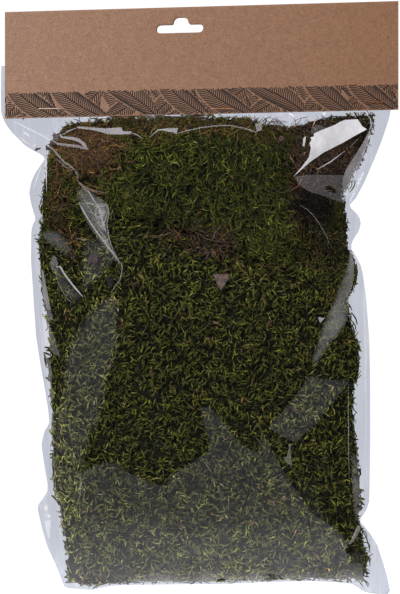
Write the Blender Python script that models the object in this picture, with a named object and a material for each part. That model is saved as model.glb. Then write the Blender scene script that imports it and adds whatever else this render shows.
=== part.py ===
# A shop pack of dried sheet moss, hanging upright by the euro slot in its header card.
# X runs across the pack to the right, Z up, and the front faces -Y.
# The origin is the top of the euro slot, where a display hook carries the pack.
import math

import bmesh
import bpy
from mathutils import Vector, noise
from mathutils.geometry import delaunay_2d_cdt

# Every size below is in millimetres, and MM turns it into metres.
MM = 0.001

# Header card: one sheet folded over the bag's mouth, and folded a little out of square.
CARD_LEFT = -111.7
CARD_RIGHT = 138.5
CARD_THICKNESS = 0.5
CARD_HALF_GAP = 0.95
CARD_TOP_AT_LEFT = 3.3
CARD_BOTTOM_AT_LEFT = -64.5
CARD_TOP_SLANT = 0.028
CARD_BOTTOM_SLANT = 0.0227
FOLD_STEPS = 8

# Euro slot, cut through both flaps. The back flap's slot sits a little off the front one.
SLOT_LEFT = -15.7
SLOT_RIGHT = 14.4
SLOT_TOP = -4.5
SLOT_BOTTOM = -10.0
SLOT_CROWN_HALF_WIDTH = 5.0
SLOT_CROWN_RADIUS = 3.6
SLOT_FOOT_RADIUS = 1.0
SLOT_SLANT = 0.025
BACK_SLOT_SHIFT = (0.7, -0.4)

# Staples, bent round the card from the front and clinched behind it.
STAPLE_CENTRES = {
    "staple_left": (-83.2, -58.2),
    "staple_middle": (26.5, -58.4),
    "staple_right": (123.9, -54.1),
}
STAPLE_CROWN = 13.6
STAPLE_CLINCH = 5.4
STAPLE_WIRE_RADIUS = 0.35
STAPLE_CORNER_RADIUS = 0.7
STAPLE_CLEARANCE = 0.3

# Bag film.
FILM_THICKNESS = 0.3
FILM_HALF_GAP = 0.35
FILM_EDGE_INSET = 0.4
FILM_BELOW_CARD = 0.3
MOUTH_LEFT = (-114.0, -31.5)
MOUTH_RIGHT = (134.0, -26.0)
FILM_COLUMNS = 16
MOUTH_ROWS = 2
BODY_ROWS = 33
FIRST_BODY_ROWS = (0.007, 0.016)

# The film's side edges, from the card down, with the notches where it puckers.
FILM_LEFT_EDGE = [
    (-111.5, -64.8), (-109.0, -71.5), (-102.0, -78.5), (-96.0, -84.0), (-87.6, -89.5),
    (-92.5, -101.5), (-96.0, -110.5), (-96.0, -117.5), (-92.0, -129.0), (-94.5, -134.5),
    (-95.0, -148.5), (-93.5, -180.0), (-92.0, -202.0), (-89.0, -222.0), (-86.0, -238.5),
    (-84.2, -250.5), (-83.8, -259.5), (-87.0, -263.5), (-88.5, -272.0), (-87.0, -286.5),
    (-84.8, -300.0), (-91.0, -311.0), (-88.5, -323.5), (-85.0, -336.5), (-79.5, -348.5),
    (-74.0, -362.0),
]
FILM_RIGHT_EDGE = [
    (134.0, -59.3), (127.5, -79.5), (121.0, -96.5), (113.5, -112.5), (107.2, -120.5),
    (114.0, -127.0), (114.5, -131.5), (109.5, -141.0), (108.6, -147.0), (113.0, -155.0),
    (116.0, -161.5), (118.0, -180.0), (120.0, -204.5), (120.5, -230.0), (120.5, -269.0),
    (120.0, -308.0), (118.5, -313.0), (115.5, -317.5), (114.6, -320.5), (117.0, -324.0),
    (121.0, -329.0), (125.5, -334.5), (129.0, -347.0), (131.5, -356.0), (134.0, -368.0),
]
FILM_BOTTOM_EDGE = [
    (-74.0, -362.0), (-56.5, -364.5), (-48.5, -362.5), (-35.5, -361.2), (25.0, -360.7),
    (42.5, -360.0), (69.0, -359.0), (85.5, -358.8), (100.5, -359.5), (109.0, -360.5),
    (118.0, -366.0), (134.0, -368.0),
]

# How far the front and the back of the bag stand out from its middle plane, by height.
FRONT_DEPTHS = [
    (-60.0, 11.0), (-90.0, 15.0), (-130.0, 16.5), (-180.0, 17.8), (-262.0, 17.8),
    (-284.0, 16.6), (-320.0, 12.0), (-345.0, 8.6), (-368.0, 6.0),
]
BACK_DEPTHS = [
    (-60.0, 8.0), (-90.0, 12.0), (-160.0, 15.0), (-270.0, 14.5), (-320.0, 10.0),
    (-345.0, 7.5), (-368.0, 5.5),
]
TOP_ROUNDING = 5.0
SIDE_ROUNDING = 14.0
BOTTOM_ROUNDING = 2.2
DEPTH_AT_MOSS_EDGE = 0.36

# Outlines of the moss, as seen from the front. A seam is shared by the mats on both sides of it.
MOSS_TOP = [(-73.5, -67.5), (-61.0, -65.5), (-48.0, -64.8), (-0.5, -63.7), (44.0, -62.8)]
MOSS_TOP_NOTCH = [(49.0, -68.0), (60.0, -68.0), (70.0, -69.5)]
MOSS_TOP_RIGHT = [(95.0, -61.8), (123.5, -61.0)]
MOSS_LEFT_UPPER = [
    (-73.5, -67.5), (-84.5, -81.5), (-85.0, -91.0), (-86.0, -100.5), (-88.0, -105.5),
    (-88.0, -129.0), (-89.8, -139.8),
]
MOSS_LEFT_LOWER = [
    (-90.5, -142.0), (-87.0, -167.0), (-84.5, -180.0), (-82.0, -196.0), (-80.5, -205.5),
    (-81.0, -250.0), (-81.5, -272.0), (-82.0, -288.0), (-80.0, -305.0), (-76.5, -316.5),
    (-75.0, -329.5), (-73.0, -342.0), (-71.5, -357.5),
]
MOSS_RIGHT_TURNED = [(123.5, -61.0), (122.5, -71.5), (119.5, -84.5), (110.5, -100.5), (104.0, -112.5)]
MOSS_RIGHT_MIDDLE = [(104.5, -116.0), (107.0, -130.5), (106.0, -148.0), (109.0, -161.0), (107.0, -180.5)]
MOSS_RIGHT_LOWER = [
    (107.0, -180.5), (109.5, -194.0), (114.0, -208.5), (114.5, -225.5), (110.5, -237.0),
    (110.5, -262.5), (112.5, -281.5), (112.5, -319.0), (116.5, -328.0), (119.5, -345.0),
    (116.0, -361.0),
]
MOSS_BOTTOM = [(109.0, -358.0), (88.5, -356.5), (25.0, -358.0), (-36.0, -358.5), (-57.5, -361.0), (-71.5, -357.5)]
SEAM_VALLEY = [
    (-89.8, -140.5), (-82.5, -139.8), (-66.0, -135.0), (-52.5, -125.5), (-32.0, -128.0),
    (-19.5, -130.5), (3.0, -136.5), (20.5, -142.0), (34.5, -148.5), (51.0, -156.0), (65.0, -160.5),
]
SEAM_RIGHT_BOTTOM = [(65.0, -160.5), (78.0, -163.5), (94.0, -180.5), (107.0, -180.5)]
SEAM_UPPER_RIGHT = [(77.0, -112.5), (80.0, -126.0), (80.5, -141.5), (77.0, -152.0), (65.0, -160.5)]
SEAM_UPPER_TURNED = [(70.0, -69.5), (73.0, -84.5), (72.5, -101.0), (77.0, -112.5)]
SEAM_TURNED_RIGHT = [(77.0, -112.5), (104.0, -114.5)]
SEAM_BACK = [(-83.0, -215.0), (-40.0, -205.0), (10.0, -222.0), (60.0, -212.0), (114.2, -224.0)]
BACK_SEAM_HEIGHT = -219.5

# Mats.
MAT_GRID = 11.0
MAT_SEAM_HALF_GAP = 0.6
MAT_UNDER_FILM = 2.2
MAT_INNER_PLANE = 0.6
MAT_LEAST_THICKNESS = 0.8
MAT_EDGE_SHARE = 0.45
MAT_EDGE_ROUNDING = 5.0
LUMP_HEIGHTS = ((0.5, 17.0), (0.3, 9.0))

# Dead leaf bits that lie on the moss, under the film.
LEAF_THICKNESS = 0.5
LEAF_UNDER_FILM = 0.7
LEAF_OUTLINES = {
    "dead_leaf": [(20.5, -163.0), (22.5, -162.5), (31.5, -164.5), (31.0, -169.0), (26.5, -175.0), (24.0, -170.5)],
    "leaf_scrap_upper": [(-59.5, -149.5), (-56.5, -148.0), (-52.5, -151.0), (-54.0, -155.5), (-58.5, -154.5)],
    "leaf_scrap_lower": [(-48.5, -168.0), (-45.5, -166.5), (-43.0, -169.5), (-45.0, -174.0), (-48.0, -173.0)],
}

# Colour, roughness, metallic value and opacity of each material.
FINISHES = {
    "kraft_card": ((0.40, 0.22, 0.13), 0.85, 0.0, 1.0),
    "clear_film": ((0.80, 0.83, 0.88), 0.12, 0.0, 0.3),
    "copper_wire": ((0.80, 0.42, 0.26), 0.3, 1.0, 1.0),
    "moss_green": ((0.10, 0.13, 0.03), 0.9, 0.0, 1.0),
    "moss_olive": ((0.13, 0.14, 0.04), 0.9, 0.0, 1.0),
    "moss_underside": ((0.10, 0.05, 0.03), 0.95, 0.0, 1.0),
    "dry_leaf": ((0.25, 0.17, 0.13), 0.8, 0.0, 1.0),
}


def clear_scene():
    for item in list(bpy.data.objects):
        bpy.data.objects.remove(item, do_unlink=True)


def finish(name):
    """The Principled material of that name, made once."""
    known = bpy.data.materials.get(name)
    if known:
        return known
    color, roughness, metallic, opacity = FINISHES[name]
    material = bpy.data.materials.new(name)
    material.use_nodes = True
    shader = material.node_tree.nodes["Principled BSDF"]
    shader.inputs["Base Color"].default_value = (*color, 1.0)
    shader.inputs["Roughness"].default_value = roughness
    shader.inputs["Metallic"].default_value = metallic
    shader.inputs["Alpha"].default_value = opacity
    return material


def add_object(name, vertices, faces, material_name, smooth_degrees):
    """One closed object from vertices in millimetres, with its faces turned outward."""
    mesh = bpy.data.meshes.new(name)
    mesh.from_pydata([Vector(v) * MM for v in vertices], [], faces)
    shell = bmesh.new()
    shell.from_mesh(mesh)
    bmesh.ops.recalc_face_normals(shell, faces=shell.faces)
    shell.to_mesh(mesh)
    shell.free()
    item = bpy.data.objects.new(name, mesh)
    bpy.context.collection.objects.link(item)
    mesh.materials.append(finish(material_name))
    mesh.shade_smooth()
    mesh.set_sharp_from_angle(angle=math.radians(smooth_degrees))
    return item


def blend(low, high, share):
    return low + (high - low) * share


def read_along(points, place, key=1):
    """The other coordinate of a falling or rising outline at a place along it."""
    other = 1 - key
    ordered = sorted(points, key=lambda point: point[key])
    if place <= ordered[0][key]:
        return ordered[0][other]
    for low, high in zip(ordered, ordered[1:]):
        if place <= high[key]:
            span = high[key] - low[key]
            share = (place - low[key]) / span if span else 0.0
            return blend(low[other], high[other], share)
    return ordered[-1][other]


def depth_at(profile, z):
    """A half depth of the bag, eased between the heights of its profile."""
    falling = sorted(profile, reverse=True)
    if z >= falling[0][0]:
        return falling[0][1]
    for (high, depth_high), (low, depth_low) in zip(falling, falling[1:]):
        if z >= low:
            return blend(depth_high, depth_low, (high - z) / (high - low))
    return falling[-1][1]


def card_top(x):
    return CARD_TOP_AT_LEFT + CARD_TOP_SLANT * (x - CARD_LEFT)


def card_bottom(x):
    return CARD_BOTTOM_AT_LEFT + CARD_BOTTOM_SLANT * (x - CARD_LEFT)


def film_height(x, z, profile):
    """How far the film's outer face stands from the middle plane at a place below the card."""
    flat = FILM_HALF_GAP + FILM_THICKNESS
    film_left = read_along(FILM_LEFT_EDGE, z)
    film_right = read_along(FILM_RIGHT_EDGE, z)
    moss_left = read_along(MOSS_LEFT_UPPER + MOSS_LEFT_LOWER, z)
    moss_right = read_along(MOSS_RIGHT_TURNED + MOSS_RIGHT_MIDDLE + MOSS_RIGHT_LOWER, z)
    if x - film_left < film_right - x:
        to_film, to_moss = x - film_left, x - moss_left
    else:
        to_film, to_moss = film_right - x, moss_right - x
    to_film = max(to_film, 0.0)
    if to_moss > 0:
        rise = 1 - math.exp(-((to_moss / SIDE_ROUNDING) ** 1.2))
        side = blend(DEPTH_AT_MOSS_EDGE, 1.0, rise)
    else:
        side = DEPTH_AT_MOSS_EDGE * (to_film / max(to_film - to_moss, 0.01)) ** 1.5
    below_card = max(card_bottom(x) - FILM_BELOW_CARD - z, 0.0)
    top = 1 - math.exp(-((below_card / TOP_ROUNDING) ** 0.8))
    above_seal = max(z - read_along(FILM_BOTTOM_EDGE, x, key=0), 0.0)
    bottom = 1 - math.exp(-above_seal / BOTTOM_ROUNDING)
    return flat + depth_at(profile, z) * side * top * bottom


def card_section():
    """The folded sheet's section as (y, height) points, outside first, then back along the inside."""
    tall = 1.0
    radius_out = CARD_HALF_GAP + CARD_THICKNESS
    turns = [math.pi * step / FOLD_STEPS for step in range(FOLD_STEPS + 1)]
    outside = [(-radius_out * math.cos(turn), radius_out * math.sin(turn)) for turn in turns]
    inside = [(-CARD_HALF_GAP * math.cos(turn), CARD_HALF_GAP * math.sin(turn)) for turn in turns]
    section = [(-radius_out, None)]
    section += [(y, tall * rise - radius_out) for y, rise in outside]
    section += [(radius_out, None), (CARD_HALF_GAP, None)]
    section += [(y, tall * rise - radius_out) for y, rise in reversed(inside)]
    section += [(-CARD_HALF_GAP, None)]
    return section


def build_card():
    """The sheet between its two ends. A section point with no height lies on the lower edge."""
    section = card_section()
    vertices = []
    for x in (CARD_LEFT, CARD_RIGHT):
        for y, from_top in section:
            z = card_bottom(x) if from_top is None else card_top(x) + from_top
            vertices.append((x, y, z))
    count = len(section)
    faces = [tuple(range(count)), tuple(range(2 * count - 1, count - 1, -1))]
    for index in range(count):
        after = (index + 1) % count
        faces.append((index, after, count + after, count + index))
    return add_object("header_card", vertices, faces, "kraft_card", 40)


def arc(centre_x, centre_z, radius, start_degrees, end_degrees, steps):
    points = []
    for step in range(steps + 1):
        turn = math.radians(blend(start_degrees, end_degrees, step / steps))
        points.append((centre_x + radius * math.cos(turn), centre_z + radius * math.sin(turn)))
    return points


def slot_outline():
    """A euro slot: a long slot with round ends and a raised crown in the middle of its top edge."""
    end_radius = (SLOT_TOP - SLOT_BOTTOM) / 2
    middle = (SLOT_TOP + SLOT_BOTTOM) / 2
    crown = SLOT_CROWN_HALF_WIDTH
    foot = SLOT_FOOT_RADIUS
    points = arc(SLOT_RIGHT - end_radius, middle, end_radius, -90, 90, 8)
    points += arc(crown + foot, SLOT_TOP + foot, foot, 270, 180, 3)
    points += arc(crown - SLOT_CROWN_RADIUS, -SLOT_CROWN_RADIUS, SLOT_CROWN_RADIUS, 0, 90, 5)
    points += arc(SLOT_CROWN_RADIUS - crown, -SLOT_CROWN_RADIUS, SLOT_CROWN_RADIUS, 90, 180, 5)
    points += arc(-crown - foot, SLOT_TOP + foot, foot, 0, -90, 3)
    points += arc(SLOT_LEFT + end_radius, middle, end_radius, 90, 270, 8)
    return points


def cutter(name, outline, low_y, high_y):
    """A prism along Y that is cut away, and isn't a piece itself."""
    count = len(outline)
    vertices = [(x, low_y, z) for x, z in outline] + [(x, high_y, z) for x, z in outline]
    faces = [tuple(range(count)), tuple(range(2 * count - 1, count - 1, -1))]
    for index in range(count):
        after = (index + 1) % count
        faces.append((index, after, count + after, count + index))
    prism = add_object(name, vertices, faces, "kraft_card", 30)
    prism.hide_render = True
    prism.display_type = "WIRE"
    return prism


def cut(item, prism):
    modifier = item.modifiers.new("cut_" + prism.name, "BOOLEAN")
    modifier.operation = "DIFFERENCE"
    modifier.solver = "EXACT"
    modifier.object = prism


def cut_slot(card):
    reach = CARD_HALF_GAP + CARD_THICKNESS + 1.0
    front = [(x, z + SLOT_SLANT * x) for x, z in slot_outline()]
    shift_x, shift_z = BACK_SLOT_SHIFT
    back = [(x + shift_x, z + shift_z) for x, z in front]
    cut(card, cutter("slot_front_cut", front, -reach, 0.0))
    cut(card, cutter("slot_back_cut", back, 0.0, reach))


def cut_staple_holes(pieces):
    reach = CARD_HALF_GAP + CARD_THICKNESS + 1.0
    radius = STAPLE_WIRE_RADIUS + STAPLE_CLEARANCE
    for name, (x, z) in STAPLE_CENTRES.items():
        for side, end in ((-1, "a"), (1, "b")):
            leg_x = x + side * STAPLE_CROWN / 2
            ring = arc(leg_x, z, radius, 22.5, 337.5, 7)
            hole = cutter(name + "_hole_" + end, ring, -reach, reach)
            for piece in pieces:
                cut(piece, hole)


def staple_path():
    """The wire's centre line in X and Y, from one clinched tip round the crown to the other."""
    stand_off = CARD_HALF_GAP + CARD_THICKNESS + STAPLE_CLEARANCE + STAPLE_WIRE_RADIUS
    half = STAPLE_CROWN / 2
    radius = STAPLE_CORNER_RADIUS
    tip = half - STAPLE_CLINCH
    path = [(-tip, stand_off)]
    path += arc(radius - half, stand_off - radius, radius, 90, 180, 3)
    path += arc(radius - half, radius - stand_off, radius, 180, 270, 3)
    path += arc(half - radius, radius - stand_off, radius, 270, 360, 3)
    path += arc(half - radius, stand_off - radius, radius, 0, 90, 3)
    path += [(tip, stand_off)]
    return path


def build_staple(name, centre_x, centre_z):
    wire = bpy.data.curves.new(name, "CURVE")
    wire.dimensions = "3D"
    wire.bevel_depth = STAPLE_WIRE_RADIUS * MM
    wire.bevel_resolution = 1
    wire.use_fill_caps = True
    path = staple_path()
    spline = wire.splines.new("POLY")
    spline.points.add(len(path) - 1)
    for point, (x, y) in zip(spline.points, path):
        point.co = (x * MM, y * MM, 0.0, 1.0)
    item = bpy.data.objects.new(name, wire)
    item.location = (centre_x * MM, 0.0, centre_z * MM)
    bpy.context.collection.objects.link(item)
    wire.materials.append(finish("copper_wire"))
    return item


def film_shares():
    """Places across the film, closer together near its two edges."""
    return [0.5 - 0.5 * math.cos(math.pi * step / FILM_COLUMNS) for step in range(FILM_COLUMNS + 1)]


def film_rows():
    """Rows of (x, front height, back height, z), from the bag's mouth down to its sealed bottom."""
    flat = FILM_HALF_GAP + FILM_THICKNESS
    shares = film_shares()
    left_top = FILM_LEFT_EDGE[0]
    right_top = FILM_RIGHT_EDGE[0]
    rows = []
    for step in range(MOUTH_ROWS + 1):
        down = step / MOUTH_ROWS
        row = []
        for share in shares:
            x = blend(blend(MOUTH_LEFT[0], MOUTH_RIGHT[0], share), blend(left_top[0], right_top[0], share), down)
            mouth_z = blend(MOUTH_LEFT[1], MOUTH_RIGHT[1], share)
            z = blend(mouth_z, card_bottom(x) - FILM_BELOW_CARD, down)
            row.append((x, flat, flat, z))
        rows.append(row)
    downs = [0.0, *FIRST_BODY_ROWS]
    downs += [step / BODY_ROWS for step in range(1, BODY_ROWS)]
    downs += [1 - FIRST_BODY_ROWS[0], 1.0]
    left_bottom = FILM_LEFT_EDGE[-1]
    right_bottom = FILM_RIGHT_EDGE[-1]
    for down in downs[1:]:
        left_z = blend(left_top[1], left_bottom[1], down)
        right_z = blend(right_top[1], right_bottom[1], down)
        left_x = read_along(FILM_LEFT_EDGE, left_z)
        right_x = read_along(FILM_RIGHT_EDGE, right_z)
        row = []
        for share in shares:
            x = blend(left_x, right_x, share)
            bottom_x = blend(left_bottom[0], right_bottom[0], share)
            chord = blend(left_bottom[1], right_bottom[1], share)
            drop = read_along(FILM_BOTTOM_EDGE, bottom_x, key=0) - chord
            z = blend(left_z, right_z, share) + drop * down ** 4
            edge = share in (0.0, 1.0) or down == 1.0
            front = flat if edge else film_height(x, z, FRONT_DEPTHS)
            back = flat if edge else film_height(x, z, BACK_DEPTHS)
            row.append((x, front, back, z))
        rows.append(row)
    return rows


def build_film():
    """A thin shell: an outer and an inner ring of points in each row, joined at the mouth."""
    vertices = []
    rings = {"outer": [], "inner": []}
    rows = film_rows()
    for row_index, row in enumerate(rows):
        last = len(row) - 1
        for layer in rings:
            wall = 0.0 if layer == "outer" else FILM_THICKNESS
            inset = 0.0 if layer == "outer" else FILM_EDGE_INSET
            lift = inset if row_index == len(rows) - 1 else 0.0
            ring = []
            for side in (-1, 1):
                order = range(last + 1) if side < 0 else range(last, -1, -1)
                for index in order:
                    x, front, back, z = row[index]
                    shift = inset if index == 0 else -inset if index == last else 0.0
                    height = (front if side < 0 else back) - wall
                    ring.append(len(vertices))
                    vertices.append((x + shift, side * height, z + lift))
            rings[layer].append(ring)
    faces = []
    for layer, ring_list in rings.items():
        for upper, lower in zip(ring_list, ring_list[1:]):
            for index in range(len(upper)):
                after = (index + 1) % len(upper)
                faces.append((upper[index], lower[index], lower[after], upper[after]))
        bottom = ring_list[-1]
        for index in range(FILM_COLUMNS):
            across = len(bottom) - 1 - index
            faces.append((bottom[index], bottom[across], bottom[across - 1], bottom[index + 1]))
    mouth_out, mouth_in = rings["outer"][0], rings["inner"][0]
    for index in range(len(mouth_out)):
        after = (index + 1) % len(mouth_out)
        faces.append((mouth_out[index], mouth_out[after], mouth_in[after], mouth_in[index]))
    return add_object("bag_film", vertices, faces, "clear_film", 60)


def inset_outline(outline, distance):
    """The outline moved inward along the bisectors of its corners."""
    area = sum(a[0] * b[1] - b[0] * a[1] for a, b in zip(outline, outline[1:] + outline[:1]))
    turn = 1 if area > 0 else -1
    moved = []
    for index, point in enumerate(outline):
        before = Vector(outline[index - 1])
        here = Vector(point)
        after = Vector(outline[(index + 1) % len(outline)])
        normals = []
        for start, end in ((before, here), (here, after)):
            step = (end - start).normalized()
            normals.append(Vector((-step.y, step.x)) * turn)
        bisector = (normals[0] + normals[1]).normalized()
        reach = distance / max(bisector.dot(normals[0]), 0.5)
        moved.append(tuple(here + bisector * reach))
    return moved


def resample(outline, spacing):
    points = []
    for start, end in zip(outline, outline[1:] + outline[:1]):
        steps = max(1, math.ceil(math.dist(start, end) / spacing))
        points += [tuple(Vector(start).lerp(Vector(end), step / steps)) for step in range(steps)]
    return points


def edge_distance(point, outline):
    """The distance to the nearest side, negative outside the outline."""
    nearest = math.inf
    inside = False
    x, z = point
    for (ax, az), (bx, bz) in zip(outline, outline[1:] + outline[:1]):
        dx, dz = bx - ax, bz - az
        share = ((x - ax) * dx + (z - az) * dz) / max(dx * dx + dz * dz, 1e-9)
        share = min(max(share, 0.0), 1.0)
        nearest = min(nearest, math.dist(point, (ax + dx * share, az + dz * share)))
        if (az > z) != (bz > z) and x < ax + (z - az) * dx / dz:
            inside = not inside
    return nearest if inside else -nearest


def inner_points(outline):
    """Staggered rows of points well inside an outline."""
    xs = [x for x, z in outline]
    zs = [z for x, z in outline]
    row_step = MAT_GRID * math.sqrt(3) / 2
    points = []
    for row in range(int((max(zs) - min(zs)) / row_step) + 1):
        z = min(zs) + row * row_step
        offset = MAT_GRID / 2 if row % 2 else 0.0
        for column in range(int((max(xs) - min(xs)) / MAT_GRID) + 1):
            point = (min(xs) + offset + column * MAT_GRID, z)
            if edge_distance(point, outline) > MAT_GRID * 0.45:
                points.append(point)
    return points


def triangles_of(points, outline_count):
    """Triangles inside the outline, which is the first of the points, in the points' own numbers."""
    sides = [(index, (index + 1) % outline_count) for index in range(outline_count)]
    vectors = [Vector(point) for point in points]
    result = delaunay_2d_cdt(vectors, sides, [], 1, 1e-6)
    faces, origins = result[2], result[3]
    return [tuple(origins[corner][0] for corner in face) for face in faces]


def lump(x, z, seed):
    height = 0.0
    for size, wavelength in LUMP_HEIGHTS:
        height += size * noise.noise(Vector((x / wavelength, z / wavelength, seed)))
    return height


def build_mat(name, outline, side, material_name, seed):
    """A slab of moss from the pack's middle plane out to just under the film, with rounded rims."""
    rim = resample(inset_outline(outline, MAT_SEAM_HALF_GAP), MAT_GRID)
    count = len(rim)
    points = rim + inner_points(rim)
    profile = FRONT_DEPTHS if side < 0 else BACK_DEPTHS
    vertices = []
    for index, (x, z) in enumerate(points):
        inside = 0.0 if index < count else edge_distance((x, z), rim)
        rounding = 1 - (1 - MAT_EDGE_SHARE) * math.exp(-inside / MAT_EDGE_ROUNDING)
        height = (film_height(x, z, profile) - MAT_UNDER_FILM + lump(x, z, seed)) * rounding
        height = max(height, MAT_INNER_PLANE + MAT_LEAST_THICKNESS)
        vertices.append((x, side * height, z))
    vertices += [(x, side * MAT_INNER_PLANE, z) for x, z in rim]
    faces = triangles_of(points, count)
    base = len(points)
    faces += [tuple(base + corner for corner in reversed(face)) for face in triangles_of(rim, count)]
    for index in range(count):
        after = (index + 1) % count
        faces.append((index, after, base + after, base + index))
    return add_object(name, vertices, faces, material_name, 50)


def build_leaf(name, outline):
    """A flat flake that follows the film from just beneath it."""
    count = len(outline)
    vertices = []
    for depth in (LEAF_UNDER_FILM, LEAF_UNDER_FILM + LEAF_THICKNESS):
        vertices += [(x, depth - film_height(x, z, FRONT_DEPTHS), z) for x, z in outline]
    faces = []
    for face in triangles_of(outline, count):
        faces.append(face)
        faces.append(tuple(count + corner for corner in reversed(face)))
    for index in range(count):
        after = (index + 1) % count
        faces.append((index, after, count + after, count + index))
    return add_object(name, vertices, faces, "dry_leaf", 30)


def build_mats():
    left_all = MOSS_LEFT_UPPER + MOSS_LEFT_LOWER
    right_all = MOSS_RIGHT_TURNED + MOSS_RIGHT_MIDDLE + MOSS_RIGHT_LOWER[1:]
    top_all = MOSS_TOP + MOSS_TOP_NOTCH + MOSS_TOP_RIGHT
    left_above = [point for point in left_all if point[1] > BACK_SEAM_HEIGHT]
    left_below = [point for point in left_all if point[1] < BACK_SEAM_HEIGHT]
    right_above = [point for point in right_all if point[1] > BACK_SEAM_HEIGHT]
    right_below = [point for point in right_all if point[1] < BACK_SEAM_HEIGHT - 8]
    outlines = {
        "moss_mat_upper": (
            MOSS_TOP + MOSS_TOP_NOTCH + SEAM_UPPER_TURNED[1:] + SEAM_UPPER_RIGHT[1:]
            + SEAM_VALLEY[-2::-1] + MOSS_LEFT_UPPER[-2:0:-1], -1, "moss_green", 1.5),
        "moss_mat_turned": (
            SEAM_UPPER_TURNED[:1] + MOSS_TOP_RIGHT + MOSS_RIGHT_TURNED[1:]
            + SEAM_TURNED_RIGHT[::-1] + SEAM_UPPER_TURNED[-2:0:-1], -1, "moss_underside", 2.5),
        "moss_mat_right": (
            SEAM_TURNED_RIGHT + MOSS_RIGHT_MIDDLE + SEAM_RIGHT_BOTTOM[-2::-1]
            + SEAM_UPPER_RIGHT[-2:0:-1], -1, "moss_olive", 3.5),
        "moss_mat_lower": (
            SEAM_VALLEY + SEAM_RIGHT_BOTTOM[1:] + MOSS_RIGHT_LOWER[1:] + MOSS_BOTTOM
            + MOSS_LEFT_LOWER[-2::-1], -1, "moss_olive", 4.5),
        "moss_mat_back_upper": (
            top_all + right_above[1:] + SEAM_BACK[::-1] + left_above[:0:-1], 1, "moss_green", 5.5),
        "moss_mat_back_lower": (
            SEAM_BACK + right_below + MOSS_BOTTOM + left_below[-2::-1], 1, "moss_olive", 6.5),
    }
    for name, (outline, side, material_name, seed) in outlines.items():
        build_mat(name, outline, side, material_name, seed)


def main():
    clear_scene()
    card = build_card()
    cut_slot(card)
    film = build_film()
    cut_staple_holes([card, film])
    for name, (x, z) in STAPLE_CENTRES.items():
        build_staple(name, x, z)
    build_mats()
    for name, outline in LEAF_OUTLINES.items():
        build_leaf(name, outline)


main()
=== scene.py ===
import math

import bmesh
import bpy
import numpy as np
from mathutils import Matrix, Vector, noise
from mathutils.bvhtree import BVHTree
from mathutils.geometry import delaunay_2d_cdt


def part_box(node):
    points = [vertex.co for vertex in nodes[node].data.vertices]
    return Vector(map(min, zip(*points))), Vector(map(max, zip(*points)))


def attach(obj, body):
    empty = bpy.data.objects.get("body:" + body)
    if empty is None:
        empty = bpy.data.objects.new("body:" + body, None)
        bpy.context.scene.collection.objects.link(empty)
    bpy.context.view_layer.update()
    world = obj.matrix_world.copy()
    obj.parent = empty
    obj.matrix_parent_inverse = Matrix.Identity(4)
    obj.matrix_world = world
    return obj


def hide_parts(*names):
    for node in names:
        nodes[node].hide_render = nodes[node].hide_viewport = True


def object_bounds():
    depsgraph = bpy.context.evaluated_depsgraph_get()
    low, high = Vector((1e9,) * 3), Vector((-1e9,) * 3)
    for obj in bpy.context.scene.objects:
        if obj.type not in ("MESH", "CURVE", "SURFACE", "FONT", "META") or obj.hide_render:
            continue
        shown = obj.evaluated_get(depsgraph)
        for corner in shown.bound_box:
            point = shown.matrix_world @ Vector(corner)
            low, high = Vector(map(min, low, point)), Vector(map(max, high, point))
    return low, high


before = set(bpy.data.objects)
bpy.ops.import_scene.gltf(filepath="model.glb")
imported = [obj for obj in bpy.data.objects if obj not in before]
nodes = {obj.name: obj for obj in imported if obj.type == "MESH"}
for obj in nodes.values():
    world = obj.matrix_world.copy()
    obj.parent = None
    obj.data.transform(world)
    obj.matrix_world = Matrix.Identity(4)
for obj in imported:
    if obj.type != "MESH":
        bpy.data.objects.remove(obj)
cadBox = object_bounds()
print("frame loaded,", len(nodes), "nodes")

# Lengths in this script are in millimetres, and mm turns them into metres.
mm = 0.001

# How the photograph looks at the pack. The pixel of the hang point lies on the card's plane.
view = {
    "width": 400,
    "height": 594,
    "mmPerPixel": 0.636,
    "hangPixel": (180.6, 17.2),
    "cameraDistance": 3000.0,
    "sensor": 36.0,
}
viewCentreX = (view["width"] / 2 - view["hangPixel"][0]) * view["mmPerPixel"]
viewCentreZ = (view["hangPixel"][1] - view["height"] / 2) * view["mmPerPixel"]


def fromPhoto(pixel, standOff=0.0):
    # The X and Z that show at a pixel, for a thing that stands off the card's plane towards the camera.
    nearer = 1 - standOff / view["cameraDistance"]
    x = viewCentreX + (pixel[0] - view["width"] / 2) * view["mmPerPixel"] * nearer
    z = viewCentreZ + (view["height"] / 2 - pixel[1]) * view["mmPerPixel"] * nearer
    return x, z


def toPhoto(x, z):
    px = view["width"] / 2 + (x - viewCentreX) / view["mmPerPixel"]
    py = view["height"] / 2 - (z - viewCentreZ) / view["mmPerPixel"]
    return px, py


def addItem(name, data):
    item = bpy.data.objects.new(name, data)
    bpy.context.collection.objects.link(item)
    return item


def addPiece(name, mesh, material):
    mesh.materials.clear()
    mesh.materials.append(material)
    item = addItem(name, mesh)
    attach(item, "root")
    return item


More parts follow.
